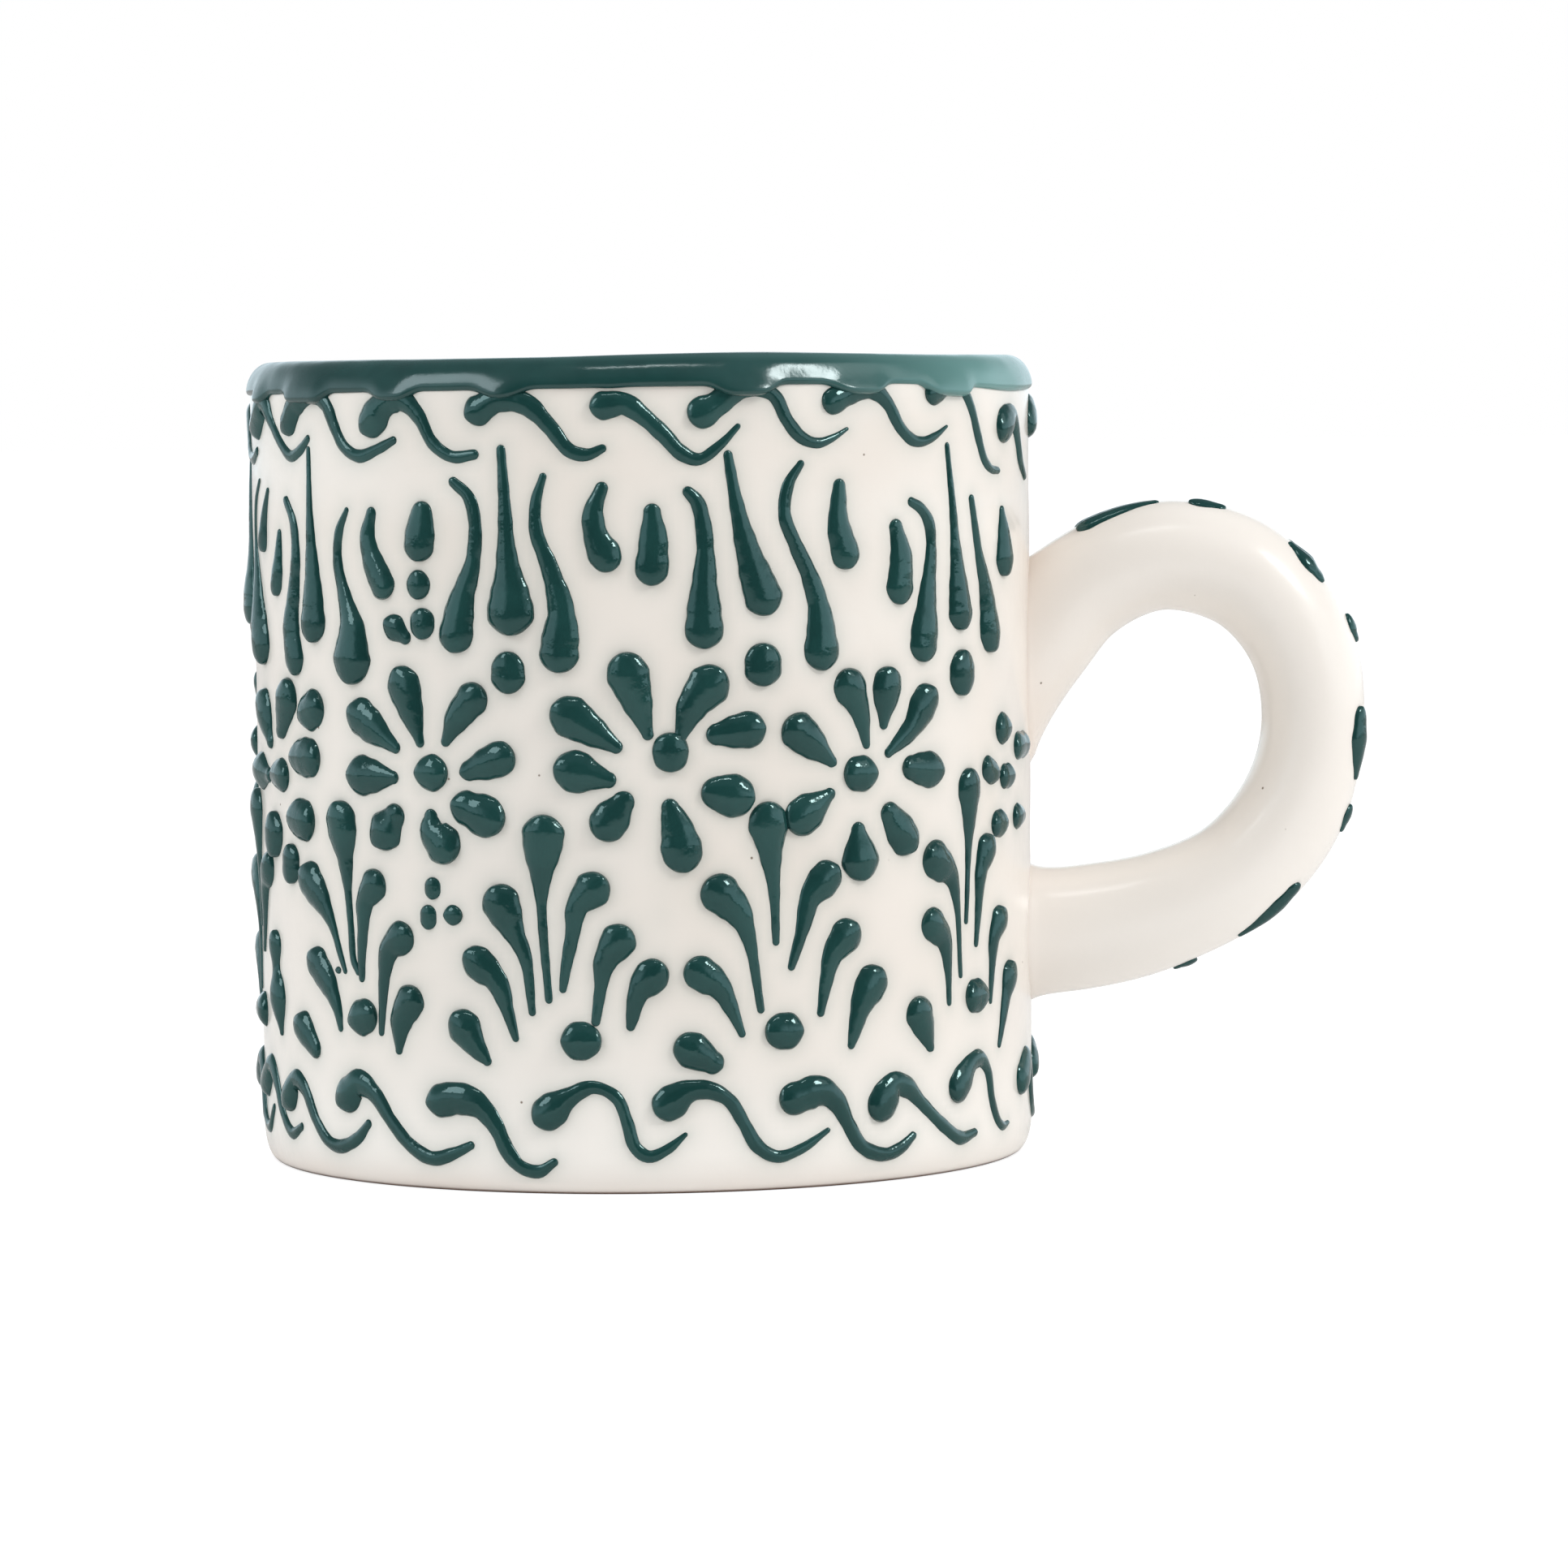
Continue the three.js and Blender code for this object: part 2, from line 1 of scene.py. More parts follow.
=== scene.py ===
import bpy
import numpy as np
from mathutils import Matrix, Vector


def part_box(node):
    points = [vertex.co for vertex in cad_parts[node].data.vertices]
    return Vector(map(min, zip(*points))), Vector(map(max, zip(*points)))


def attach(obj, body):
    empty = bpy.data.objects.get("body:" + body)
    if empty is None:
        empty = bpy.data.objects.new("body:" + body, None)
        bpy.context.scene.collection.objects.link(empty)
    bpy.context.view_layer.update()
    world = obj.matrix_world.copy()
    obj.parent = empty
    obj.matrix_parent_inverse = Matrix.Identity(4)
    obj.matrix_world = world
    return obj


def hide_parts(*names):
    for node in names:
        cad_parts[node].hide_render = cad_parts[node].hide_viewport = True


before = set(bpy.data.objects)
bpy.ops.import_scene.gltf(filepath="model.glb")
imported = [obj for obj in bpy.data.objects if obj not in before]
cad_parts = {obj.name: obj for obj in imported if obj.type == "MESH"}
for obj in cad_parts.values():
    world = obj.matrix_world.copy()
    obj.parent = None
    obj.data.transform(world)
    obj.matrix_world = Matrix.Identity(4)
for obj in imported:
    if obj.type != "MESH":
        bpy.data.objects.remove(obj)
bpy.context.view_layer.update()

# Thrown body
# A straight cup thrown in pale red clay, with a rounded lip and a softly turned base edge. It is dipped
# in cream-white glaze, painted whiter towards the foot as painted light thrown up from the table. The base
# and a hair of the edge above it show dark unglazed clay, laid also as a painted contact shadow.
MM = 0.001
TURN = 2 * np.pi
LOW_RADIUS = 41.6
BASE_EDGE_HEIGHT = 4.0
BASE_EDGE_INSET = 1.5
WALL = 4.5
LIP_HEIGHT = 3.0
FLOOR = 6.0
FLOOR_FILLET = 8.0
CUP_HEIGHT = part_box("cup_body")[1].z / MM
TOP_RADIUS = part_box("cup_body")[1].y / MM
LIP_BASE = CUP_HEIGHT - LIP_HEIGHT
LEAN = 0.10
LEAN_DRIFT = 60.0
RIDGES = 0.05
RIDGE_DRIFT = 25.0
RINGS = 0.03
RING_PITCH = 13.0
TRUE_RADIUS = 20.0
WALL_COLUMNS = 360
BASE_ROWS = 10
CORNER_ROWS = 12
WALL_ROWS = 112
LIP_ROWS = 25
INSIDE_ROWS = 40
FLOOR_ROWS = 16
CREAM = (0.823, 0.768, 0.708, 1.0)
CREAM_WARM = (0.79, 0.71, 0.63, 1.0)
# A whiter cream, painted light: it stands for light thrown up from the table onto the foot and under the
# handle, and whitens the handle all over.
CREAM_PAINTED_BRIGHT = (0.945, 0.90, 0.845, 1.0)
CLAY_BLUSH = (0.72, 0.50, 0.37, 1.0)
# Dark brown of the unglazed clay, laid also as a painted contact shadow along the bottom edge.
BARE_CLAY_AND_SHADOW = (0.24, 0.155, 0.115, 1.0)
SPECK_BROWN = (0.22, 0.17, 0.13, 1.0)
# Grey-green of slip bled into the glaze round the beads, with painted shade at their feet.
BLED_GREEN_AND_SHADE = (0.50, 0.55, 0.50, 1.0)
BLEED_AND_SHADE_SHARE = 0.40
SPECK_CORE = 0.4
SPECK_STEP = 0.01
GLAZE_IOR = 1.52


def hand_wobble(angle, height):
    """The potter's unevenness in mm: sines of two and of five lobes round the wall, and of rings up it.

    The lobes drift round as the height grows, and each ring tilts once round the wall.
    """
    lean = LEAN * np.sin(2 * angle + 0.6 + height / LEAN_DRIFT)
    ridge = RIDGES * np.sin(5 * angle - 1.1 + height / RIDGE_DRIFT)
    rings = RINGS * np.sin(TURN * height / RING_PITCH + np.sin(angle))
    return lean + ridge + rings


def wall_radius(height):
    """Outside radius: a straight taper to the lip, less a quarter ellipse at the base edge."""
    taper = LOW_RADIUS + (TOP_RADIUS - LOW_RADIUS) * height / LIP_BASE
    below = np.clip(1 - height / BASE_EDGE_HEIGHT, 0, 1)
    return taper - BASE_EDGE_INSET * (1 - np.sqrt(1 - below**2))


def body_profile():
    """Half section of the clay: from the middle of the base up the wall and over the lip to the floor.

    The base edge and the corner of the floor are quarter ellipses, and the lip is half of one.
    """
    quarter = np.linspace(0, np.pi / 2, CORNER_ROWS)
    base = np.linspace(0, wall_radius(0), BASE_ROWS)[1:-1]
    edge = BASE_EDGE_HEIGHT * (1 - np.cos(quarter))
    straight = np.linspace(BASE_EDGE_HEIGHT, LIP_BASE, WALL_ROWS)[1:-1]
    outside = np.hstack([edge, straight])
    over = np.linspace(0, np.pi, LIP_ROWS)
    lip_radius = TOP_RADIUS - WALL / 2 + WALL / 2 * np.cos(over)
    lip_height = LIP_BASE + LIP_HEIGHT * np.sin(over)
    inside = TOP_RADIUS - WALL
    down = np.linspace(LIP_BASE, FLOOR + FLOOR_FILLET, INSIDE_ROWS)[1:-1]
    corner_radius = inside - FLOOR_FILLET * (1 - np.cos(quarter))
    corner_height = FLOOR + FLOOR_FILLET * (1 - np.sin(quarter))
    floor = np.linspace(inside - FLOOR_FILLET, 0, FLOOR_ROWS)[1:-1]
    down_radius = np.full(down.size, inside)
    floor_height = np.full(floor.size, FLOOR)
    radius = np.hstack([base, wall_radius(outside), lip_radius, down_radius, corner_radius, floor])
    height = np.hstack([np.zeros(base.size), outside, lip_height, down, corner_height, floor_height])
    return radius, height


def round_the_cup(radius, angle, height):
    """Points at a radius and a height, an angle round from the middle of the front towards the handle.

    Sideways is the radius times the angle's sine, and depth is minus the radius times its cosine.
    """
    return np.stack([radius * np.sin(angle), -radius * np.cos(angle), height], -1)


def tube_faces(rows, columns, pole=0):
    """Quads between neighbouring closed rings, and a fan of triangles from a pole at either end.

    The first pole has the given number, the rings follow it row by row, and the other pole is last.
    """
    ring = np.arange(columns)
    following = (ring + 1) % columns
    start = pole + 1 + columns * np.arange(rows - 1)[:, None]
    quads = np.stack(
        [start + ring, start + following, start + columns + following, start + columns + ring], -1
    ).reshape(-1, 4)
    last = pole + 1 + columns * (rows - 1)
    first_fan = np.stack([np.full(columns, pole), pole + 1 + following, pole + 1 + ring], -1)
    last_fan = np.stack([last + ring, last + following, np.full(columns, last + columns)], -1)
    return quads.tolist() + first_fan.tolist() + last_fan.tolist()


def new_piece(name, points, faces, finish):
    """A smooth-shaded mesh object at the origin from points in mm, wearing one finish."""
    mesh = bpy.data.meshes.new(name)
    mesh.from_pydata((points * MM).tolist(), [], faces)
    mesh.shade_smooth()
    mesh.materials.append(finish)
    piece = bpy.data.objects.new(name, mesh)
    bpy.context.scene.collection.objects.link(piece)
    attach(piece, "root")
    return piece


def feed(tree, node, inputs):
    """Gives each named input of a node the output of another node, or else a constant."""
    for name, value in inputs.items():
        if isinstance(value, bpy.types.NodeSocket):
            tree.links.new(value, node.inputs[name])
        else:
            node.inputs[name].default_value = value


def wired(tree, kind, inputs, **settings):
    """Outputs of a new shader node of a kind, after its settings are made and its inputs are fed."""
    node = tree.nodes.new("ShaderNode" + kind)
    for name, value in settings.items():
        setattr(node, name, value)
    feed(tree, node, inputs)
    return node.outputs


def new_finish(name):
    """An empty material with its node tree, its shader and the object's own coordinates."""
    finish = bpy.data.materials.new(name)
    finish.use_nodes = True
    tree = finish.node_tree
    return finish, tree, tree.nodes["Principled BSDF"], wired(tree, "TexCoord", {})["Object"]


def carried(tree, name):
    """A share that the piece carries at its vertices under a name; nought where it carries none."""
    return wired(tree, "Attribute", {}, attribute_name=name)["Fac"]


def noise(tree, place, scale, detail):
    """Fractal noise over the surface, as a value about one half."""
    return wired(tree, "TexNoise", {"Vector": place, "Scale": scale, "Detail": detail})["Fac"]


def ramp(tree, value, low, high, low_out=0.0, high_out=1.0):
    """Smooth step of a value between two levels."""
    levels = {"From Min": low, "From Max": high, "To Min": low_out, "To Max": high_out}
    return wired(tree, "MapRange", {"Value": value, **levels}, interpolation_type="SMOOTHSTEP")["Result"]


def blend(tree, share, under, over):
    """Mix of two colours by a share: the first where it is nought, the second where it is one."""
    return wired(tree, "Mix", {"Factor": share, "A": under, "B": over}, data_type="RGBA")["Result"]


def times(tree, first, second):
    """Product of two values; the second may be a constant."""
    return wired(tree, "Math", {0: first, 1: second}, operation="MULTIPLY")["Value"]


def relief(tree, height, depth, under=None):
    """Bump of a given depth in metres, laid over another bump if one is given."""
    below = {} if under is None else {"Normal": under}
    return wired(tree, "Bump", {"Height": height, "Distance": depth, **below})["Normal"]


def specks(tree, place, scale, reach, share):
    """Sparse round specks: in a share of the cells of a Voronoi pattern, a spot about the cell's seed."""
    cells = wired(tree, "TexVoronoi", {"Vector": place, "Scale": scale})
    spot = ramp(tree, cells["Distance"], low=reach, high=reach * SPECK_CORE)
    luck = wired(tree, "SeparateColor", {"Color": cells["Color"]})["Red"]
    return times(tree, spot, ramp(tree, luck, low=1 - share, high=1 - share + SPECK_STEP))


def uneven(tree, place, scale, detail, least, most):
    """A value that wanders smoothly between two levels with noise."""
    return ramp(tree, noise(tree, place, scale, detail), low=0.3, high=0.7, low_out=least, high_out=most)


def white_glaze(name, least_rough, most_rough):
    """Cream glaze: warm clouds, painted whitening, bled green with painted shade, a warm blush, brown specks,
    and unglazed clay with painted shadow.

    Each is blended over the one before, by noise or by a share that the piece carries.
    """
    finish, tree, shader, place = new_finish(name)
    clouds = ramp(tree, noise(tree, place, scale=28.0, detail=2.0), low=0.45, high=0.75, high_out=0.35)
    colour = blend(tree, clouds, CREAM, CREAM_WARM)
    # Painted light: the glaze is whitened by the share the piece carries for it.
    colour = blend(tree, carried(tree, "painted_brightening"), colour, CREAM_PAINTED_BRIGHT)
    # Bled green and painted shade round the beads.
    colour = blend(tree, times(tree, carried(tree, "bleed_and_painted_shade"), BLEED_AND_SHADE_SHARE), colour, BLED_GREEN_AND_SHADE)
    patches = uneven(tree, place, scale=60.0, detail=3.0, least=0.45, most=1.0)
    colour = blend(tree, times(tree, carried(tree, "blush"), patches), colour, CLAY_BLUSH)
    colour = blend(tree, specks(tree, place, scale=420.0, reach=0.08, share=0.14), colour, SPECK_BROWN)
    # Unglazed clay at the base, with painted contact shadow along the bottom edge.
    colour = blend(tree, carried(tree, "bare_and_painted_shadow"), colour, BARE_CLAY_AND_SHADOW)
    gloss = uneven(tree, place, scale=140.0, detail=2.0, least=least_rough, most=most_rough)
    waves = relief(tree, noise(tree, place, scale=55.0, detail=1.0), depth=0.00025)
    peel = relief(tree, noise(tree, place, scale=620.0, detail=2.0), depth=0.00002, under=waves)
    feed(tree, shader, {"Base Color": colour, "Roughness": gloss, "IOR": GLAZE_IOR, "Normal": peel})
    return finish


def set_share(piece, name, values):
    """Writes one value a vertex as a named attribute that the finish reads."""
    layer = piece.data.attributes.new(name, "FLOAT", "POINT")
    layer.data.foreach_set("value", values.astype(np.float32))


cream_glaze = white_glaze("cream_white_glaze", least_rough=0.12, most_rough=0.20)
profile_radius, profile_height = body_profile()
around = np.linspace(0, TURN, WALL_COLUMNS, endpoint=False)
grid_height = np.repeat(profile_height[:, None], WALL_COLUMNS, 1)
wobble_share = np.clip(grid_height / BASE_EDGE_HEIGHT, 0, 1)
wobble_share *= np.clip((profile_radius / TRUE_RADIUS)[:, None], 0, 1)
grid_radius = profile_radius[:, None] + wobble_share * hand_wobble(around[None, :], grid_height)
body_rings = round_the_cup(grid_radius, around, grid_height)
body_points = np.vstack([(0, 0, 0), body_rings.reshape(-1, 3), (0, 0, FLOOR)])
body = new_piece("glazed_body", body_points, tube_faces(*grid_radius.shape), cream_glaze)
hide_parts("cup_body")

# Handle
# A pulled roll of the same clay, bent into a ring and luted to the wall with slip, which leaves a soft
# fillet at both roots. It takes the same glaze, a little duller, painted a little whiter all over and whiter
# still low on the ring as painted light thrown up from the table, and warmer and darker by the roots.
HANDLE_REACH = 30.4
HANDLE_CROWN = 64.0
HANDLE_FOOT = 23.2
HANDLE_WIDTH = 13.0
KNEAD = 0.08
KNEAD_LENGTH = 5.1
PINCH = 0.05
PINCH_LENGTH = 2.9
ROOT_FILLET = 0.6
ROOT_FILLET_LENGTH = 1.2
ROOT_DEPTH = 2.2
# Warmer and darker on the handle near its roots.
HANDLE_BLUSH = 0.22
HANDLE_BLUSH_REACH = 2.5
# Painted light: the handle is whitened all over, and more low on the ring, where light is thrown up from the
# table.
HANDLE_PAINTED_BRIGHT = 0.30
UNDER_PAINTED_BOUNCE = 0.65
UNDER_FROM = 58.0
UNDER_FADE = 34.0
SPAN_STOPS = 24
LEAST_STOPS = 3
HANDLE_STEP = 0.25
HANDLE_PROBES = 800
HANDLE_ROWS = 200
HANDLE_COLUMNS = 64
# Middle line as shares of the reach and of the rise from foot to crown, with the thickness in mm, from
# the upper root round to the lower root. It starts and ends inside the wall.
HANDLE_LINE = [
    (-0.3, 0.38, 11.0), (0.02, 0.757, 11.2), (0.18, 0.912, 11.9), (0.46, 0.995, 11.8), (0.76, 0.941, 11.9),
    (0.957, 0.77, 11.5), (1.001, 0.56, 11.0), (0.925, 0.33, 11.7), (0.738, 0.156, 12.0), (0.46, 0.056, 12.7),
    (0.16, 0.012, 13.5), (-0.2, -0.002, 13.9),
]


def smooth_line(points, step):
    """Curve through points at even steps: a cubic a span, with speeds from centripetal knots.

    The third value leaves the first point level, so that a round head runs smoothly into its stroke.
    """
    points = np.asarray(points, float)
    padded = np.vstack([2 * points[0] - points[1], points, 2 * points[-1] - points[-2]])
    padded[0, 2] = points[1, 2]
    gap = np.sqrt(np.linalg.norm(np.diff(padded[:, :2], axis=0), axis=1))[:, None]
    slope = np.diff(padded, axis=0) / gap
    chord = (padded[2:] - padded[:-2]) / (gap[:-1] + gap[1:])
    speed = slope[:-1] - chord + slope[1:]
    leave = (speed[:-1] * gap[1:-1])[:, None]
    arrive = (speed[1:] * gap[1:-1])[:, None]
    begin = points[:-1, None]
    end = points[1:, None]
    square = -3 * begin + 3 * end - 2 * leave - arrive
    cube = 2 * begin - 2 * end + leave + arrive
    share = np.linspace(0, 1, SPAN_STOPS, endpoint=False)[None, :, None]
    dense = (begin + share * (leave + share * (square + share * cube))).reshape(-1, points.shape[1])
    dense = np.vstack([dense, points[-1]])
    walked = np.hstack([0, np.cumsum(np.linalg.norm(np.diff(dense[:, :2], axis=0), axis=1))])
    count = max(LEAST_STOPS, int(round(walked[-1] / step)) + 1)
    stops = np.linspace(0, walked[-1], count)
    return np.stack([np.interp(stops, walked, column) for column in dense.T], -1), stops


out_share, up_share, handle_thickness = np.array(HANDLE_LINE).T
handle_out = TOP_RADIUS + out_share * HANDLE_REACH
handle_up = HANDLE_FOOT + up_share * (HANDLE_CROWN - HANDLE_FOOT)
handle_knots = np.stack([handle_out, handle_up, handle_thickness], -1)
handle_middle, handle_stops = smooth_line(handle_knots, HANDLE_STEP)
handle_length = handle_stops[-1]
handle_run = np.gradient(handle_middle[:, :2], handle_stops, axis=0)
handle_run /= np.linalg.norm(handle_run, axis=1)[:, None]


def off_wall(points):
    """How far points lie out from the wall's outside, in mm: below nought they are in the clay."""
    return np.hypot(points[..., 0], points[..., 1]) - wall_radius(points[..., 2])


def on_handle(around, along, lift):
    """A point off the handle's skin: an ellipse about the middle line that swells a little at the wall.

    Around is in mm from the back towards the cup's front, along in mm down the middle line.
    """
    x, z, thickness = (np.interp(along, handle_stops, column) for column in handle_middle.T)
    run_x, run_z = (np.interp(along, handle_stops, column) for column in handle_run.T)
    angle = around / (HANDLE_WIDTH / 2)
    knead = KNEAD * np.sin(along / KNEAD_LENGTH + angle) + PINCH * np.sin(along / PINCH_LENGTH - 2 * angle)
    reach = (thickness / 2 + knead + lift) * np.cos(angle)
    side = (HANDLE_WIDTH / 2 + knead + lift) * np.sin(angle)
    plain = np.stack([x - run_z * reach, -side, z + run_x * reach], -1)
    fillet = ROOT_FILLET * np.exp(-np.clip(off_wall(plain), 0, None) / ROOT_FILLET_LENGTH)
    reach = reach + fillet * np.cos(angle)
    side = side + fillet * np.sin(angle)
    return np.stack([x - run_z * reach, -side, z + run_x * reach], -1)


handle_around = np.linspace(0, np.pi * HANDLE_WIDTH, HANDLE_COLUMNS, endpoint=False)
probe = np.linspace(0, handle_length, HANDLE_PROBES)
free = off_wall(on_handle(handle_around[None, :], probe[:, None], 0.0)) > -ROOT_DEPTH
handle_from = probe[free.argmax(0)]
handle_to = probe[HANDLE_PROBES - 1 - free[::-1].argmax(0)]
handle_steps = handle_from + np.linspace(0, 1, HANDLE_ROWS)[:, None] * (handle_to - handle_from)
handle_rings = on_handle(handle_around[None, :], handle_steps, 0.0)
handle_ends = handle_rings[[0, -1]].mean(1)
handle_glaze = white_glaze("cream_white_handle_glaze", least_rough=0.19, most_rough=0.27)
handle_points = np.vstack([handle_ends[0], handle_rings.reshape(-1, 3), handle_ends[1]])
handle = new_piece("luted_handle", handle_points, tube_faces(HANDLE_ROWS, HANDLE_COLUMNS), handle_glaze)
root_gap = np.clip(off_wall(handle_points), 0, None)
# Painted light thrown up from the table, strongest low on the ring.
under_bounce_share = UNDER_PAINTED_BOUNCE * np.clip((UNDER_FROM - handle_points[:, 2]) / UNDER_FADE, 0, 1)
set_share(handle, "blush", HANDLE_BLUSH * np.exp(-root_gap / HANDLE_BLUSH_REACH))
set_share(handle, "painted_brightening", np.maximum(HANDLE_PAINTED_BRIGHT, under_bounce_share))
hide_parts("handle")

# Scroll border under the lip
# Thick green slip trailed from a nozzle in running scrolls, each a round head that thins into a curling
# tail. The heads were laid against the wet band of the lip and flow into it.
GIRTH = 264.0
HALF_ROUND = GIRTH / 2
BEAD_EDGE = 0.04
BEAD_CROWN = 0.48
BEAD_ROUND = 1.5
BEAD_SINK = 0.3
BEAD_STEP = 0.35
BEAD_COLUMNS = 20
CAP_ROWS = 9
BEAD_SEED = 7
EDGE_WAVE = 0.03
EDGE_WAVE_LENGTH = 0.55
EDGE_NICK = 0.018
EDGE_NICK_LENGTH = 0.27
CROWN_WAVE = 0.02
CROWN_WAVE_LENGTH = 1.7
SLIP_GREEN = (0.0095, 0.043, 0.040, 1.0)
SLIP_LIGHT = (0.013, 0.055, 0.051, 1.0)
# The paler green is laid where the slip lies thinly on the lip's crest, and as a painted sheen along a
# stretch of the lip.
SLIP_THIN_AND_SHEEN = (0.12, 0.27, 0.255, 1.0)
SLIP_SHEEN = (0.70, 1.0, 0.98, 1.0)
SLIP_IOR = 1.54
# Strokes as (mm round from the middle of the front, height, half width), from the head to the tail.
UPPER_SCROLLS = [
    [(-54.2, 79.2, 1.8), (-51.2, 81.4, 1.5), (-48.7, 79.2, 0.75), (-46, 76.9, 0.65), (-43.7, 75.7, 0.65),
     (-41.5, 76.4, 0.6), (-40, 77.5, 0.45)],
    [(-44, 79.3, 1.55), (-42.2, 81.3, 1.55), (-38.8, 82.2, 1.1), (-36.4, 81, 0.9), (-35.1, 78.8, 0.8),
     (-33.6, 76.7, 0.7), (-31.3, 75.7, 0.7), (-28.6, 76.4, 0.6), (-26.4, 77.3, 0.45)],
    [(-29.2, 79.4, 1.9), (-27.4, 81.1, 1.55), (-25.2, 81.5, 1.3), (-23.1, 79.8, 0.85), (-21.4, 77, 0.7),
     (-19.1, 75.6, 0.65), (-16.6, 75.8, 0.55)],
    [(-16, 80.3, 1.6), (-14, 81.3, 1.3), (-10.9, 80.9, 1.15), (-8.4, 78.6, 0.85), (-6.3, 76.1, 0.75),
     (-4.5, 75.7, 0.65), (-3, 76.3, 0.45)],
    [(-2.8, 80.65, 1.45), (-0.7, 80.8, 1.2), (1, 79.7, 0.95), (3.3, 77.6, 0.85), (5, 75.8, 0.8),
     (6.8, 75.1, 0.65), (9, 76.5, 0.5), (10.9, 78.4, 0.3)],
    [(7.35, 79.9, 1.7), (8.9, 80.8, 1.3), (10.5, 82, 1.3), (12.3, 82.4, 1), (14.8, 81.5, 0.75),
     (16.2, 79, 0.72), (17.8, 77.2, 0.68), (19.6, 76.6, 0.55), (21.4, 77.1, 0.4), (23.1, 78, 0.2)],
    [(21.6, 80.9, 1.45), (23.3, 81.6, 1.2), (26.2, 82.1, 1.1), (28.2, 80.7, 0.8), (30, 78.1, 0.7),
     (31.7, 76.8, 0.65), (33.3, 76.6, 0.55), (35.3, 77.2, 0.4), (37, 78.1, 0.2)],
    [(35, 81.7, 1.4), (37.1, 82.3, 1.1), (39.7, 82.1, 0.8), (41.4, 80.2, 0.65), (42.9, 77, 0.65),
     (44.3, 74.6, 0.6), (45.9, 73.6, 0.5), (47.6, 73.4, 0.4)],
    [(49.2, 78.2, 2), (51.7, 79.2, 1.2), (53.7, 76.9, 0.8), (55.2, 74.4, 0.7), (57.7, 72.7, 0.5)],
    [(63, 78.6, 1.9), (65.5, 80.2, 1.3), (68.2, 78.4, 0.8), (71.5, 75.9, 0.7), (74.6, 75.4, 0.65),
     (77, 76.2, 0.5)],
]
bead_luck = np.random.default_rng(BEAD_SEED)
laid_slip = []


def on_wall(across, up, lift):
    """A point off the wall: its radius, with the potter's unevenness and a lift, at a share of a turn.

    Across is in mm round from the middle of the front, up is the height.
    """
    angle = TURN * across / GIRTH
    return round_the_cup(wall_radius(up) + hand_wobble(angle, up) + lift, angle, up)


def bead(stroke, place):
    """Points of a closed bead of slip over a stroke on a skin, and its number of rings.

    Its half width runs along the stroke and closes in a half circle past either end. Its section is a
    dome above the skin, steep at its foot and as high as the bead is plump, and a shallow one sunk below.
    """
    line, stops = smooth_line(stroke, BEAD_STEP)
    run = np.gradient(line[:, :2], stops, axis=0)
    run /= np.linalg.norm(run, axis=1)[:, None]
    swing = np.linspace(0, np.pi / 2, CAP_ROWS + 1)[1:-1]
    past = np.cos(swing)
    wide = np.sin(swing)
    first, last = line[0, 2], line[-1, 2]
    head = line[:1, :2] - first * past[:, None] * run[:1]
    tail = line[-1:, :2] + last * past[::-1, None] * run[-1:]
    middle = np.vstack([head, line[:, :2], tail])
    along = np.pad(run, ((CAP_ROWS - 1, CAP_ROWS - 1), (0, 0)), "edge")
    plump = np.pad(line[:, 2], CAP_ROWS - 1, "edge")
    gone = np.hstack([-first * past, stops, stops[-1] + last * past[::-1]])
    phase = bead_luck.uniform(0, TURN, 3)
    wave = EDGE_WAVE * np.sin(gone / EDGE_WAVE_LENGTH + phase[0])
    nick = EDGE_NICK * np.sin(gone / EDGE_NICK_LENGTH + phase[1])
    half = np.hstack([first * wide, line[:, 2], last * wide[::-1]]) * (1 + wave + nick)
    rise = (BEAD_EDGE + BEAD_CROWN * plump) * np.sqrt(half / plump)
    rise = rise * (1 + CROWN_WAVE * np.sin(gone / CROWN_WAVE_LENGTH + phase[2]))
    turn = np.linspace(0, TURN, BEAD_COLUMNS, endpoint=False)
    side = half[:, None] * np.cos(turn)
    dome = rise[:, None] * np.clip(np.sin(turn), 0, None) ** BEAD_ROUND
    lift = dome + BEAD_SINK * np.clip(np.sin(turn), None, 0)
    rings = place(middle[:, :1] - along[:, 1:] * side, middle[:, 1:] + along[:, :1] * side, lift)
    tips = np.stack([line[0, :2] - first * run[0], line[-1, :2] + last * run[-1]])
    poles = place(tips[:, 0], tips[:, 1], np.zeros(2))
    return np.vstack([poles[0], rings.reshape(-1, 3), poles[1]]), len(rings)


def beads(strokes, place):
    """Several beads as one set of points and faces."""
    points = []
    faces = []
    count = 0
    for stroke in strokes:
        bead_points, rows = bead(stroke, place)
        points.append(bead_points)
        faces += tube_faces(rows, BEAD_COLUMNS, count)
        count += len(bead_points)
    return np.vstack(points), faces


def shifted(strokes, across):
    """The same strokes further round the wall."""
    return [[(x + across, y, half) for x, y, half in stroke] for stroke in strokes]


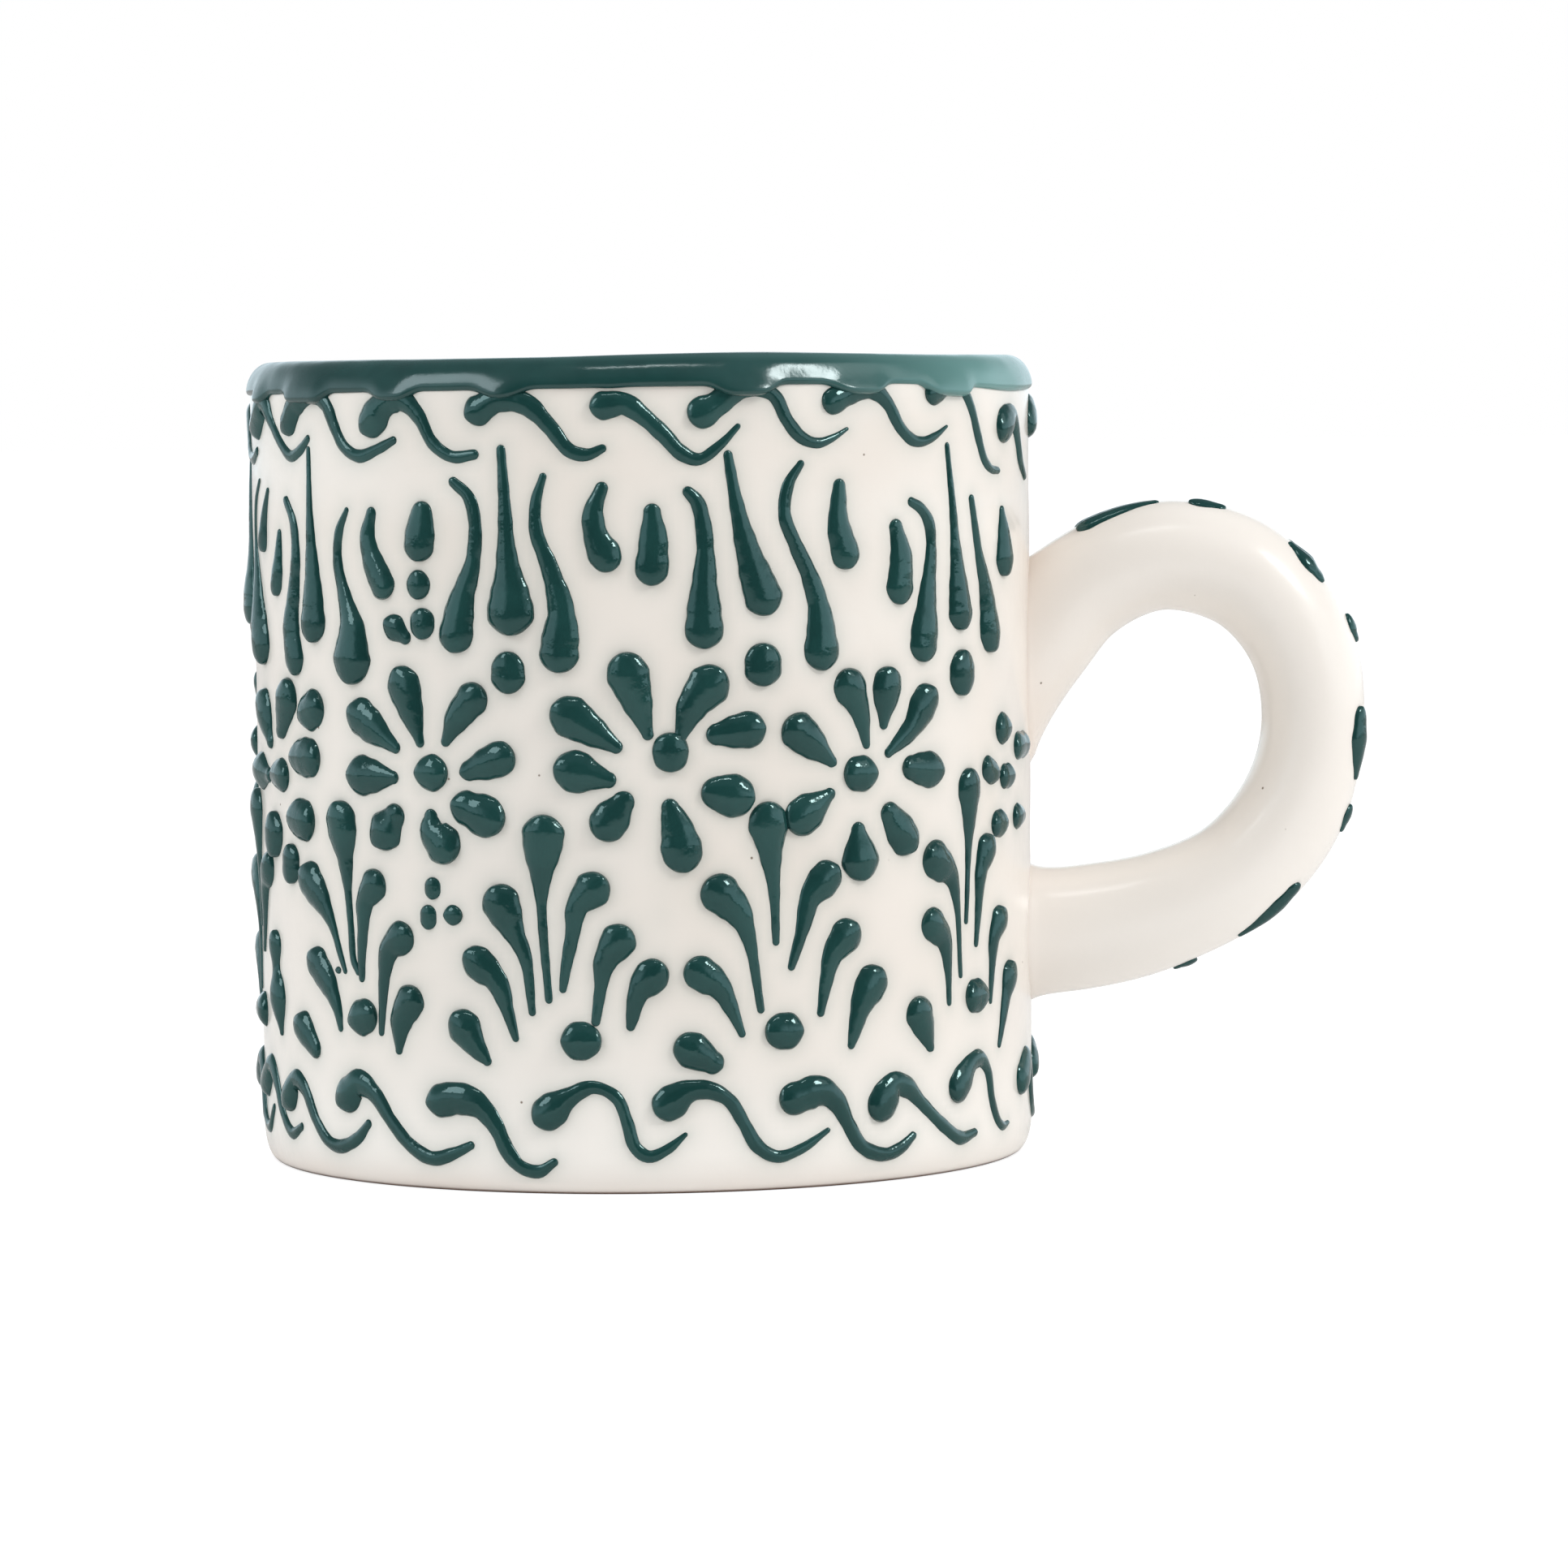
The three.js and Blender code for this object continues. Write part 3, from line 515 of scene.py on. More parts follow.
def green_slip(name, least_rough, most_rough, sheen, lumpy):
    """Dark green slip under clear glaze: two close greens in clouds, and a paler one, laid where it lies
    thinly and as a painted sheen.

    Its glossy skin has broad waves, and lumps and a fine peel whose depth goes with how lumpy it is.
    """
    finish, tree, shader, place = new_finish(name)
    clouds = ramp(tree, noise(tree, place, scale=160.0, detail=3.0), low=0.35, high=0.7)
    colour = blend(tree, clouds, SLIP_GREEN, SLIP_LIGHT)
    # Paler where thinly laid, and as a painted sheen.
    colour = blend(tree, carried(tree, "thin_and_painted_sheen"), colour, SLIP_THIN_AND_SHEEN)
    gloss = uneven(tree, place, scale=300.0, detail=2.0, least=least_rough, most=most_rough)
    waves = relief(tree, noise(tree, place, scale=130.0, detail=1.0), depth=0.00030)
    lumps = relief(tree, noise(tree, place, scale=420.0, detail=1.0), depth=0.00005 * lumpy, under=waves)
    peel = relief(tree, noise(tree, place, scale=1800.0, detail=2.0), depth=0.00003 * lumpy, under=lumps)
    feed(tree, shader, {"Base Color": colour, "Roughness": gloss, "IOR": SLIP_IOR, "Normal": peel})
    feed(tree, shader, {"Specular Tint": sheen})
    return finish


def trailed(name, strokes, place, *nodes):
    """A piece of trailed slip on a skin, which stands for the given nodes if there are any."""
    piece = new_piece(name, *beads(strokes, place), slip_glaze)
    if nodes:
        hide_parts(*nodes)


def trailed_on_wall(name, strokes, *nodes):
    """A piece of trailed slip on the wall, whose strokes are noted for the marks in the glaze."""
    trailed(name, strokes, on_wall, *nodes)
    laid_slip.extend(strokes)


slip_glaze = green_slip("green_trailed_slip", least_rough=0.05, most_rough=0.10, sheen=SLIP_SHEEN, lumpy=1.0)
both_upper = UPPER_SCROLLS + shifted(UPPER_SCROLLS, HALF_ROUND)
trailed_on_wall("upper_scrolls", both_upper, "upper_scroll_border")

# Green lip
# The lip is dipped in the same green, which lies thick over it and runs a little way down inside and
# out. It sags and swells where the scroll heads touch it and is flattened along one stretch. Along another
# stretch towards the handle it is painted paler as a painted sheen, and it is smoother and duller than the
# beads.
BAND_EDGE = 82.42
BAND_TILT = 0.30
BAND_RIPPLE = 0.02
BAND_DROP = 1.0
BAND_DROP_MIDDLE = 53.0
BAND_DROP_REACH = 15.0
BAND_INSIDE = 2.0
BAND_THICKNESS = 0.42
BAND_ROUND = 0.6
BAND_LUMPS = 0.02
BAND_FINE_LUMPS = 0.006
BAND_SAG = 1.1
FLOW_GAP = 0.35
FLOW_FADE = 0.6
FLOW_SOFTENING = 5
CREST_STEP = 0.5
BAND_HEAP = 0.32
BAND_HEAP_MIDDLE = 12.0
BAND_HEAP_REACH = 16.0
BAND_SWELL = 0.62
BAND_SWELL_MIDDLE = 81.6
BAND_SWELL_REACH = 1.5
BAND_SWELL_TO = 1.2
BAND_FLAT = 0.22
BAND_FLAT_MIDDLE = 22.0
BAND_FLAT_REACH = 11.0
BAND_FLAT_TOP = 2.3
BAND_ROWS = 720
BAND_SKIRT_COLUMNS = 10
BAND_SKIRT_CROWDING = 1.5
BAND_SKIRT_TOP = 1.2
BAND_OVER_COLUMNS = 30
BAND_INSIDE_COLUMNS = 6
BAND_UNDER_STEP = 3
# Painted sheen: a stretch of the lip towards the handle is painted paler.
PAINTED_SHEEN_MIDDLE = 47.0
PAINTED_SHEEN_REACH = 20.0
PAINTED_SHEEN_SHARE = 0.95
THIN_ON_CREST = 0.10
THIN_CREST_REACH = 0.35
LIP_SHEEN = (0.88, 1.0, 1.0, 1.0)


def wrapped(across):
    """Distances round the wall taken the short way, between minus and plus half the girth."""
    return (across + HALF_ROUND) % GIRTH - HALF_ROUND


def softened(values, reach):
    """Values round the lip softened with a cosine window of a given reach in rows."""
    window = np.hanning(2 * reach + 1)
    closed = np.hstack([values[-reach:], values, values[:reach]])
    return np.convolve(closed, window / window.sum(), "valid")


def stretch(middle, reach, power=2):
    """A stretch of the lip: one at its middle, falling as an exponential of a power of the distance."""
    return np.exp(-((wrapped(band_across - middle) / reach) ** power))


band_angle = np.linspace(0, TURN, BAND_ROWS, endpoint=False)
band_across = band_angle / TURN * GIRTH
samples = np.vstack([smooth_line(stroke, CREST_STEP)[0] for stroke in both_upper])
sideways = wrapped(band_across[:, None] - samples[:, 0])
crest = samples[:, 1] + np.sqrt(np.clip(samples[:, 2] ** 2 - sideways**2, 0, None))
crest = np.where(np.abs(sideways) < samples[:, 2], crest, 0).max(1)
level_edge = BAND_EDGE + BAND_TILT * np.sin(band_angle + 0.1) + BAND_RIPPLE * np.sin(19 * band_angle + 1)
level_edge -= BAND_DROP * stretch(BAND_DROP_MIDDLE, BAND_DROP_REACH)
flow = softened(np.clip((crest - level_edge + FLOW_GAP) / FLOW_FADE, 0, 1), FLOW_SOFTENING)
lower_edge = level_edge - BAND_SAG * flow
skirt_share = np.linspace(0, 1, BAND_SKIRT_COLUMNS) ** BAND_SKIRT_CROWDING
skirt_top = LIP_BASE + BAND_SKIRT_TOP
skirt = lower_edge[:, None] + skirt_share * (skirt_top - lower_edge)[:, None]
skirt_swing = np.arcsin(np.clip((skirt - LIP_BASE) / LIP_HEIGHT, 0, 1))
over_swing = np.linspace(np.arcsin(BAND_SKIRT_TOP / LIP_HEIGHT), np.pi, BAND_OVER_COLUMNS + 1)[1:]
inside_drop = np.linspace(0, BAND_INSIDE, BAND_INSIDE_COLUMNS + 1)[1:]
other_swing = np.hstack([over_swing, np.full(BAND_INSIDE_COLUMNS, np.pi)])
other_height = np.hstack([LIP_BASE + LIP_HEIGHT * np.sin(over_swing), LIP_BASE - inside_drop])
swing = np.hstack([skirt_swing, np.tile(other_swing, (BAND_ROWS, 1))])
band_height = np.hstack([skirt, np.tile(other_height, (BAND_ROWS, 1))])
wobble = hand_wobble(band_angle[:, None], band_height)
clay_radius = TOP_RADIUS - WALL / 2 + WALL / 2 * np.cos(swing) + wobble
lean = np.stack([np.cos(swing) / (WALL / 2), np.sin(swing) / LIP_HEIGHT], -1)
lean /= np.linalg.norm(lean, axis=-1)[..., None]
walked = np.hypot(np.diff(clay_radius, axis=1), np.diff(band_height, axis=1)).cumsum(1)
walked = np.hstack([np.zeros((BAND_ROWS, 1)), walked])
from_edge = np.clip(np.minimum(walked, walked[:, -1:] - walked) / BAND_ROUND, 0, 1)
lumps = BAND_LUMPS * np.sin(5 * band_angle + 0.4) + BAND_FINE_LUMPS * np.sin(17 * band_angle + 2.0)
heap = BAND_HEAP * stretch(BAND_HEAP_MIDDLE, BAND_HEAP_REACH)
by_head = np.exp(-(((band_height - BAND_SWELL_MIDDLE) / BAND_SWELL_REACH) ** 2))
swell = by_head * (swing < BAND_SWELL_TO) * flow[:, None]
flat_place = stretch(BAND_FLAT_MIDDLE, BAND_FLAT_REACH, power=4)
flat_share = np.clip((band_height - LIP_BASE) / BAND_FLAT_TOP, 0, 1) * (swing < np.pi / 2)
flat = BAND_FLAT * flat_place[:, None] * 4 * flat_share * (1 - flat_share)
thickness = BAND_THICKNESS + (lumps + heap)[:, None] + BAND_SWELL * swell - flat
thickness = thickness * np.sqrt(1 - (1 - from_edge) ** 2)
top_radius = clay_radius + thickness * lean[..., 0]
top_height = band_height + thickness * lean[..., 1]
under_radius = (clay_radius - BEAD_SINK * lean[..., 0])[:, -2:0:-BAND_UNDER_STEP]
under_height = (band_height - BEAD_SINK * lean[..., 1])[:, -2:0:-BAND_UNDER_STEP]
band_radius = np.hstack([top_radius, under_radius])
band_up = np.hstack([top_height, under_height])
band_points = round_the_cup(band_radius, band_angle[:, None], band_up).reshape(-1, 3)
band_columns = band_radius.shape[1]
row = np.arange(BAND_ROWS)[:, None] * band_columns
next_row = np.roll(row, -1)
column = np.arange(band_columns)
next_column = np.roll(column, -1)
band_faces = np.stack([row + column, next_row + column, next_row + next_column, row + next_column], -1)
lip_glaze = green_slip("green_dipped_slip", least_rough=0.15, most_rough=0.22, sheen=LIP_SHEEN, lumpy=0.35)
band = new_piece("green_lip", band_points, band_faces.reshape(-1, 4).tolist(), lip_glaze)
on_crest = np.exp(-(((band_up - CUP_HEIGHT - BAND_THICKNESS) / THIN_CREST_REACH) ** 2))
# Painted sheen along a stretch of the lip; the crest is paler where the slip lies thinly.
painted_sheen = PAINTED_SHEEN_SHARE * stretch(PAINTED_SHEEN_MIDDLE, PAINTED_SHEEN_REACH)
set_share(band, "thin_and_painted_sheen", np.clip(THIN_ON_CREST * on_crest + painted_sheen[:, None], 0, 1).ravel())
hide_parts("rim_band")

# Scroll border above the base
# The same running scrolls once round the foot of the wall. They were trailed freehand, so no two of them
# are alike in length or height.
LOWER_SCROLLS = [
    [(-56.3, 9, 1.8), (-53.8, 10.8, 1.2), (-51.3, 8.8, 0.8), (-49.7, 6.4, 0.7), (-46.7, 4.2, 0.7),
     (-44.2, 5.1, 0.45)],
    [(-47.1, 8.2, 1.8), (-45.5, 10, 1.2), (-43.3, 9.2, 0.9), (-40.8, 6.1, 0.75), (-38.4, 4.1, 0.75),
     (-36.3, 3.7, 0.75), (-33.3, 4.8, 0.7), (-31.6, 6.4, 0.5)],
    [(-34.7, 9.3, 1.95), (-32.9, 10.6, 1.5), (-30.65, 9.6, 1.05), (-28.25, 6.95, 0.8), (-25.7, 4.6, 0.78),
     (-22.9, 3.35, 0.8), (-20.1, 4.05, 0.65), (-18.2, 4.9, 0.45)],
    [(-21.7, 9.4, 1.75), (-19.6, 9.7, 1.75), (-17.35, 9.1, 1.4), (-15.4, 7.1, 0.95), (-14, 4.4, 0.85),
     (-12.6, 2.85, 0.75), (-10.7, 2.4, 0.7), (-9, 3.4, 0.45)],
    [(-9.5, 8.5, 1.9), (-7.3, 10.1, 1.1), (-4.8, 11.15, 0.7), (-2.4, 10.1, 0.65), (-1.3, 7.6, 0.65),
     (-0.5, 5, 0.7), (0.9, 4, 0.65), (2.8, 4.7, 0.55), (4.7, 6.2, 0.25)],
    [(3.1, 9.4, 1.85), (5, 10.6, 1.25), (7.2, 10.7, 0.95), (9.3, 9.6, 0.75), (10.85, 7.15, 0.7),
     (12.3, 4.75, 0.75), (14.4, 3.6, 0.65), (17.1, 4.3, 0.55), (20.1, 6, 0.3)],
    [(16.4, 9.5, 1.75), (19.3, 10.1, 1.6), (21.15, 8.95, 1.15), (22.5, 6.65, 0.85), (24.2, 4.1, 0.8),
     (27.1, 3, 0.75), (29.3, 3.5, 0.7), (31, 4.6, 0.5)],
    [(26.9, 8.3, 1.95), (28.4, 10.2, 1.4), (30.2, 9.8, 1.15), (32.3, 8.05, 0.78), (35.8, 5.3, 0.75),
     (38.8, 3.7, 0.75), (41.4, 4, 0.5)],
    [(38.6, 9.2, 1.85), (40.8, 11.3, 1.2), (42.7, 11.7, 0.95), (44.4, 10.3, 0.7), (45.4, 7.1, 0.65),
     (46.8, 4.8, 0.62), (48.3, 4, 0.5), (49.6, 4.2, 0.3)],
    [(54.8, 8.5, 1.9), (57.1, 10.4, 1.3), (59.3, 9, 0.9), (61.5, 5.4, 0.7), (64.3, 3.9, 0.7),
     (66.9, 5.2, 0.5)],
    [(66.9, 9, 1.9), (69.3, 10.7, 1.3), (71.8, 8.7, 0.9), (74, 5, 0.7), (76.6, 4, 0.65),
     (78.9, 6.3, 0.45)],
]
both_lower = LOWER_SCROLLS + shifted(LOWER_SCROLLS, HALF_ROUND)
trailed_on_wall("lower_scrolls", both_lower, "lower_scroll_border")

# Long drops
# Groups of three long drops hang under the upper border. Each is pulled up from a plump bulb into a
# thread that curls away at its end.
LONG_DROPS = {
    "1": [
        [(-43.5, 54.5, 1.8), (-44.1, 57.9, 1.65), (-43.5, 61.4, 1.2), (-42.9, 65.8, 0.85), (-43.3, 68.8, 0.7),
         (-44.9, 71, 0.55)],
        [(-39.4, 58.4, 2.15), (-39.4, 61.9, 1.6), (-39.6, 65.8, 1), (-39.8, 70.8, 0.55), (-39.9, 76.4, 0.35)],
        [(-32.9, 54.8, 2.75), (-32.8, 57.9, 1.9), (-33.85, 61.1, 1.05), (-34.9, 64.6, 0.75),
         (-34.6, 67.8, 0.65), (-33.3, 70.1, 0.35)],
    ],
    "2": [
        [(-19, 57.5, 2), (-18.3, 60.9, 1.5), (-16.95, 64.8, 0.9), (-16.6, 68.8, 0.75), (-17.3, 71.5, 0.7),
         (-19, 73, 0.55)],
        [(-12.85, 59.9, 2.6), (-12.95, 62.9, 1.75), (-13.15, 65.8, 1.1), (-13.25, 69.8, 0.75),
         (-13.6, 76.3, 0.48)],
        [(-7.7, 55.6, 2.1), (-7.45, 59.9, 1.45), (-8.6, 64.3, 0.95), (-9.9, 67.8, 0.75), (-9.95, 70.8, 0.6),
         (-9.15, 73.5, 0.4)],
    ],
    "3": [
        [(7.2, 57.8, 2), (7.25, 61.9, 1.45), (7.4, 65.8, 0.95), (7.15, 68.8, 0.85), (6.6, 70.8, 0.75),
         (5.7, 71.8, 0.6)],
        [(13.45, 61.1, 2.05), (12.3, 64.3, 1.55), (11.3, 67.8, 1.05), (10.55, 71.3, 0.7), (9.85, 75.5, 0.5)],
        [(19.9, 55.3, 2), (19.7, 59.4, 1.35), (18.65, 62.9, 1), (17, 66.3, 0.8), (15.85, 69.3, 0.72),
         (16.3, 72.4, 0.65), (17.7, 74.5, 0.4)],
    ],
    "4": [
        [(33.2, 55.8, 2.05), (33.9, 61.1, 1.25), (34.4, 65.4, 0.8), (34.1, 68.2, 0.8), (32.9, 69.7, 0.65),
         (31.5, 70.4, 0.5)],
        [(39.3, 58.8, 1.95), (38.8, 62.9, 1.3), (38.35, 66.3, 0.8), (37.9, 70.8, 0.55), (37.1, 76.1, 0.38)],
        [(45.3, 56.3, 2), (44.4, 60.9, 1.3), (42.9, 64.8, 0.75), (42.1, 67.8, 0.6), (41.5, 70.5, 0.5)],
    ],
}
SIDE_DROPS = [
    [(-68.5, 57.5, 2), (-67.3, 62.6, 1.4), (-66.7, 69.2, 0.65), (-68.9, 72.8, 0.55)],
    [(-63.1, 59.9, 2.4), (-63.5, 65.8, 1.1), (-63.9, 75, 0.45)],
    [(-53.6, 56.1, 2.6), (-55.3, 61.9, 1.3), (-56.6, 66.8, 0.45), (-55.8, 70.8, 0.4), (-53.9, 73, 0.35)],
]


def on_all_sides(groups, side_group):
    """Each front group, the same half a turn on at the back, and the group on the side: place and strokes."""
    front = [("front_" + number, strokes) for number, strokes in groups.items()]
    back = [("back_" + number, shifted(strokes, HALF_ROUND)) for number, strokes in groups.items()]
    return front + back + [("side", side_group)]


for where, triple in on_all_sides(LONG_DROPS, SIDE_DROPS):
    for hand, stroke in zip(("left", "middle", "right"), triple):
        trailed_on_wall(f"drop_{where}_{hand}", [stroke], f"long_drop_{where}_{hand}")

# Flowers
# Each flower is a round dot with eight petals about it, pressed out plump at the outer end and drawn in
# to the middle.
FLOWERS = {
    "1": [
        [(-48.3, 42.1, 1.8), (-47.4, 42.1, 1.8)],
        [(-45.7, 50.2, 2.3), (-47.2, 47.1, 1.2)],
        [(-40.2, 49.2, 2.2), (-40, 49.3, 2.2)],
        [(-40.8, 44.2, 2.2), (-42.5, 44.2, 2)],
        [(-42.3, 37.6, 2.35), (-43.1, 37.7, 2.2)],
        [(-45.3, 32.6, 1.9), (-45.3, 33.1, 1.9)],
        [(-50.2, 35.5, 2.3), (-50.2, 35.9, 2.3)],
        [(-55.8, 42.2, 2.1), (-52.3, 41.9, 0.9)],
        [(-53.3, 48.9, 2.2), (-51.2, 45.6, 0.9)],
    ],
    "2": [
        [(-22.3, 43.2, 1.9), (-22.1, 43.2, 1.9)],
        [(-25.6, 52.1, 2.1), (-23.6, 46.3, 0.55)],
        [(-17.3, 50.8, 1.8), (-19, 48.9, 1.5), (-20.4, 46.5, 0.6)],
        [(-14.4, 44.7, 1.9), (-17.7, 43.5, 1.1)],
        [(-15.9, 38.8, 2.2), (-18, 39.6, 1.9)],
        [(-21, 35.9, 2.15), (-22.3, 37.4, 1.65), (-22.4, 38.7, 0.8)],
        [(-28.35, 37.15, 2.2), (-27.2, 38.5, 1.45)],
        [(-31.5, 42.7, 2.15), (-27.2, 42.6, 0.75)],
        [(-31.5, 48.7, 2.1), (-26.8, 45.7, 0.65)],
    ],
    "3": [
        [(3.6, 45.2, 1.9), (3.6, 45.5, 1.9)],
        [(-0.7, 53.5, 2.15), (1.3, 47.2, 0.6)],
        [(7.6, 52.1, 2.2), (5.9, 50, 1.65), (4.7, 47.1, 0.7)],
        [(11.6, 47.5, 1.95), (8.4, 47.1, 1.15)],
        [(10, 40.8, 2.3), (8.4, 41.1, 1.75)],
        [(4.7, 35.1, 2.1), (4.2, 37.5, 1.75), (3.5, 39.7, 0.95)],
        [(-2.8, 38.3, 2.05), (-1.3, 40.3, 1.2)],
        [(-6.3, 43.5, 2.2), (-2.8, 42.6, 0.85)],
        [(-6.7, 49.1, 2.15), (-2, 46, 0.75)],
    ],
    "4": [
        [(24.3, 42.6, 1.95), (24.5, 42.6, 1.95)],
        [(23.2, 51.6, 1.95), (24.5, 48.9, 1.2), (25.2, 45.6, 0.5)],
        [(28, 51.6, 1.95), (27.5, 47.6, 0.6)],
        [(33.3, 49.6, 2), (31.4, 47.1, 1.35), (28.1, 44.6, 0.55)],
        [(33.9, 42.6, 2), (31.3, 42.9, 1.35)],
        [(30.1, 35.9, 2.1), (28.3, 38.2, 1.35)],
        [(24.35, 33.8, 2.3), (24.1, 36.8, 0.85)],
        [(17.6, 38.5, 2.1), (20.6, 40.6, 0.7)],
        [(17.3, 47.1, 2.05), (20.9, 44, 0.65)],
    ],
}
SIDE_FLOWER_SHIFT = -52.4
for where, strokes in on_all_sides(FLOWERS, shifted(FLOWERS["2"], SIDE_FLOWER_SHIFT)):
    trailed_on_wall(f"petals_{where}", strokes, f"flower_{where}")

# Sprays
# Between the flowers stand sprays of stems that rise from a dot, each with a plump bud at its top and a
# stem drawn out below it.
SPRAYS = {
    "1": [
        [(-32.2, 17.5, 1.95), (-31.9, 17.6, 1.95)],
        [(-35.1, 37.6, 2.4), (-34.5, 33.9, 1.3), (-34.1, 30.4, 0.6), (-33.8, 26.9, 0.5), (-33.5, 23.4, 0.5),
         (-32.8, 22.2, 0.4)],
        [(-40.8, 31.2, 2.2), (-38.6, 29.1, 1.5), (-37, 26.9, 0.7), (-35.6, 23.7, 0.45), (-34.9, 22.2, 0.35)],
        [(-30.2, 31.3, 1.8), (-31.5, 29.6, 1.3), (-31.9, 26.9, 0.85), (-32.2, 23.9, 0.65),
         (-32.2, 21.6, 0.45)],
        [(-39.8, 22.6, 1.9), (-37.8, 20.6, 1.5), (-36.3, 18.2, 0.8), (-35.8, 16.2, 0.45)],
        [(-26.6, 26, 1.8), (-28.2, 24.7, 1.35), (-28.9, 21.9, 0.85), (-29.2, 18.4, 0.55), (-29.4, 16.1, 0.4)],
        [(-25.5, 19.4, 1.85), (-26.6, 17.5, 1.5), (-27, 14.4, 0.5)],
    ],
    "2": [
        [(-6.1, 15.9, 2), (-5.8, 15.9, 2)],
        [(-9.7, 36.8, 2.3), (-9.9, 33.4, 1.4), (-9.95, 30.4, 0.65), (-9.75, 25.9, 0.5), (-9.3, 20.1, 0.4)],
        [(-14.3, 29.8, 2.15), (-13.1, 27.2, 1.3), (-11.8, 24.4, 0.75), (-11.1, 18.8, 0.4)],
        [(-4.6, 31.4, 1.9), (-6.2, 29.6, 1.2), (-6.7, 26.9, 0.8), (-7.45, 23.4, 0.6), (-7.8, 21.2, 0.4)],
        [(-17.1, 23.8, 1.8), (-15, 21.9, 1.3), (-13.8, 18.9, 0.75), (-12.95, 16.1, 0.4)],
        [(-2, 26.1, 1.85), (-3.4, 23.9, 1.2), (-3.85, 21.4, 0.7), (-4.4, 17.9, 0.5)],
        [(1.4, 22.5, 1.85), (0, 20.7, 1.15), (-0.8, 17.4, 0.5)],
    ],
    "3": [
        [(15.1, 16.5, 1.95), (15.4, 16.5, 1.95)],
        [(13.75, 38, 2.15), (14, 34.4, 1.2), (14.3, 30.9, 0.65), (14.45, 25.7, 0.4)],
        [(8.6, 30.8, 2.1), (10.5, 28.7, 1.45), (11.6, 25.9, 0.75), (12.75, 18.8, 0.4)],
        [(20.1, 32, 1.9), (18.35, 30.1, 1.3), (17.4, 26.9, 0.8), (16.15, 23.1, 0.45)],
        [(6.5, 22.7, 1.85), (8.4, 21.2, 1.3), (9.7, 18.8, 0.75), (10.7, 16.4, 0.4)],
        [(22.4, 25.9, 1.9), (20.9, 24.1, 1.25), (20.1, 21.4, 0.8), (19.4, 18.2, 0.45)],
        [(25.6, 20.8, 2.05), (24.4, 18.9, 1.45), (23, 14.7, 0.5)],
    ],
    "4": [
        [(41.8, 18.4, 1.9), (42.1, 18.4, 1.9)],
        [(40.7, 40.5, 1.95), (40.75, 36.9, 1.15), (40.6, 33.9, 0.6), (40, 26.4, 0.35)],
        [(35, 33.1, 2.15), (37.3, 31.4, 1.3), (38.3, 28.4, 0.6), (39, 20.8, 0.35)],
        [(44.3, 33.6, 1.8), (43.1, 31.4, 1.2), (42.5, 27.9, 0.7), (42, 23.9, 0.4)],
        [(34.4, 26.4, 1.85), (36.1, 24.7, 1.25), (36.8, 21.4, 0.6), (36.9, 18.1, 0.38)],
        [(47.2, 25.9, 1.7), (46, 24.2, 1.2), (45.6, 21.4, 0.7), (45.1, 17.6, 0.35)],
        [(50.2, 19.8, 1.75), (49.1, 17.7, 1.1), (47.2, 12.8, 0.4)],
    ],
}
SIDE_SPRAY_SHIFT = -73.0
SIDE_LAST_STEM = [(-50.9, 23.9, 1.6), (-50.7, 21.3, 1.0), (-50.0, 18.7, 2.0), (-49.4, 14.8, 0.5)]
side_spray = shifted(SPRAYS["3"][:-2], SIDE_SPRAY_SHIFT) + [SIDE_LAST_STEM]
for where, strokes in on_all_sides(SPRAYS, side_spray):
    trailed_on_wall(f"stems_{where}", strokes, f"spray_{where}")

# Small drops and dots
# Touches of the same slip that fill the gaps, front and back: short drops between the long ones, single
# dots, and beads at the foot of the sprays. A little flower of dots stands beside the handle, and a few
# free touches are on the side away from it.
SHORT_DROPS = [
    [(-52.5, 66.7, 1.2), (-51.6, 69.6, 0.8), (-50.4, 72, 0.4)],
    [(-48, 62.3, 1.35), (-47.3, 65.3, 0.9), (-46.9, 67.6, 0.45)],
    [(-28.3, 62.6, 1.7), (-29.5, 64.8, 1.45), (-30.2, 67.3, 1.1), (-29.6, 69.8, 0.7)],
    [(-23.3, 66.8, 1.95), (-22.9, 69.7, 1.4)],
    [(-2.8, 65.4, 1.7), (-3.7, 67.3, 1.35), (-4, 69.8, 1.05), (-3.1, 72.3, 0.65)],
    [(1.9, 64, 1.7), (2.1, 66.8, 1.5), (2, 69.8, 0.9)],
    [(22.8, 65.3, 1.7), (22, 68.3, 1.3), (22.15, 72.2, 0.75)],
    [(29.85, 61.6, 1.8), (30, 64.8, 1.5), (29.3, 67.8, 0.9)],
    [(49, 64.1, 1.9), (48.8, 66.6, 1.4), (48.5, 69.1, 0.6)],
]
DOTS = [
    [(-23.5, 62.4, 1.45), (-23.5, 62.6, 1.45)],
    [(-26.7, 58.1, 1.4), (-25.3, 57.1, 0.8)],
    [(-23.05, 58.4, 1.55), (-23.05, 58.6, 1.55)],
    [(-13.2, 53.2, 1.85), (-13.2, 53.9, 1.85)],
    [(13.35, 53.9, 2.05), (13.35, 54.3, 2.05)],
    [(39.5, 52.1, 2.1), (39.5, 52.8, 2.1)],
    [(-22.3, 31.1, 0.97), (-22.3, 31.5, 0.97)],
    [(-22.9, 28, 1), (-22.9, 28.6, 1)],
    [(-19.9, 28.6, 1.05), (-19.8, 28.6, 1.05)],
    [(-36.1, 22.2, 0.4), (-36, 22.2, 0.4)],
]
FOOT_BEADS = [
    [(-43, 15.6, 1.9), (-40.8, 13.7, 1.15)],
    [(-18.8, 17.1, 1.9), (-17.5, 15.2, 1.3), (-16.2, 13.7, 0.55)],
    [(5.4, 14.9, 1.9), (7.5, 13.6, 1.3)],
    [(32.2, 17.2, 1.95), (33.7, 13.8, 0.65)],
]
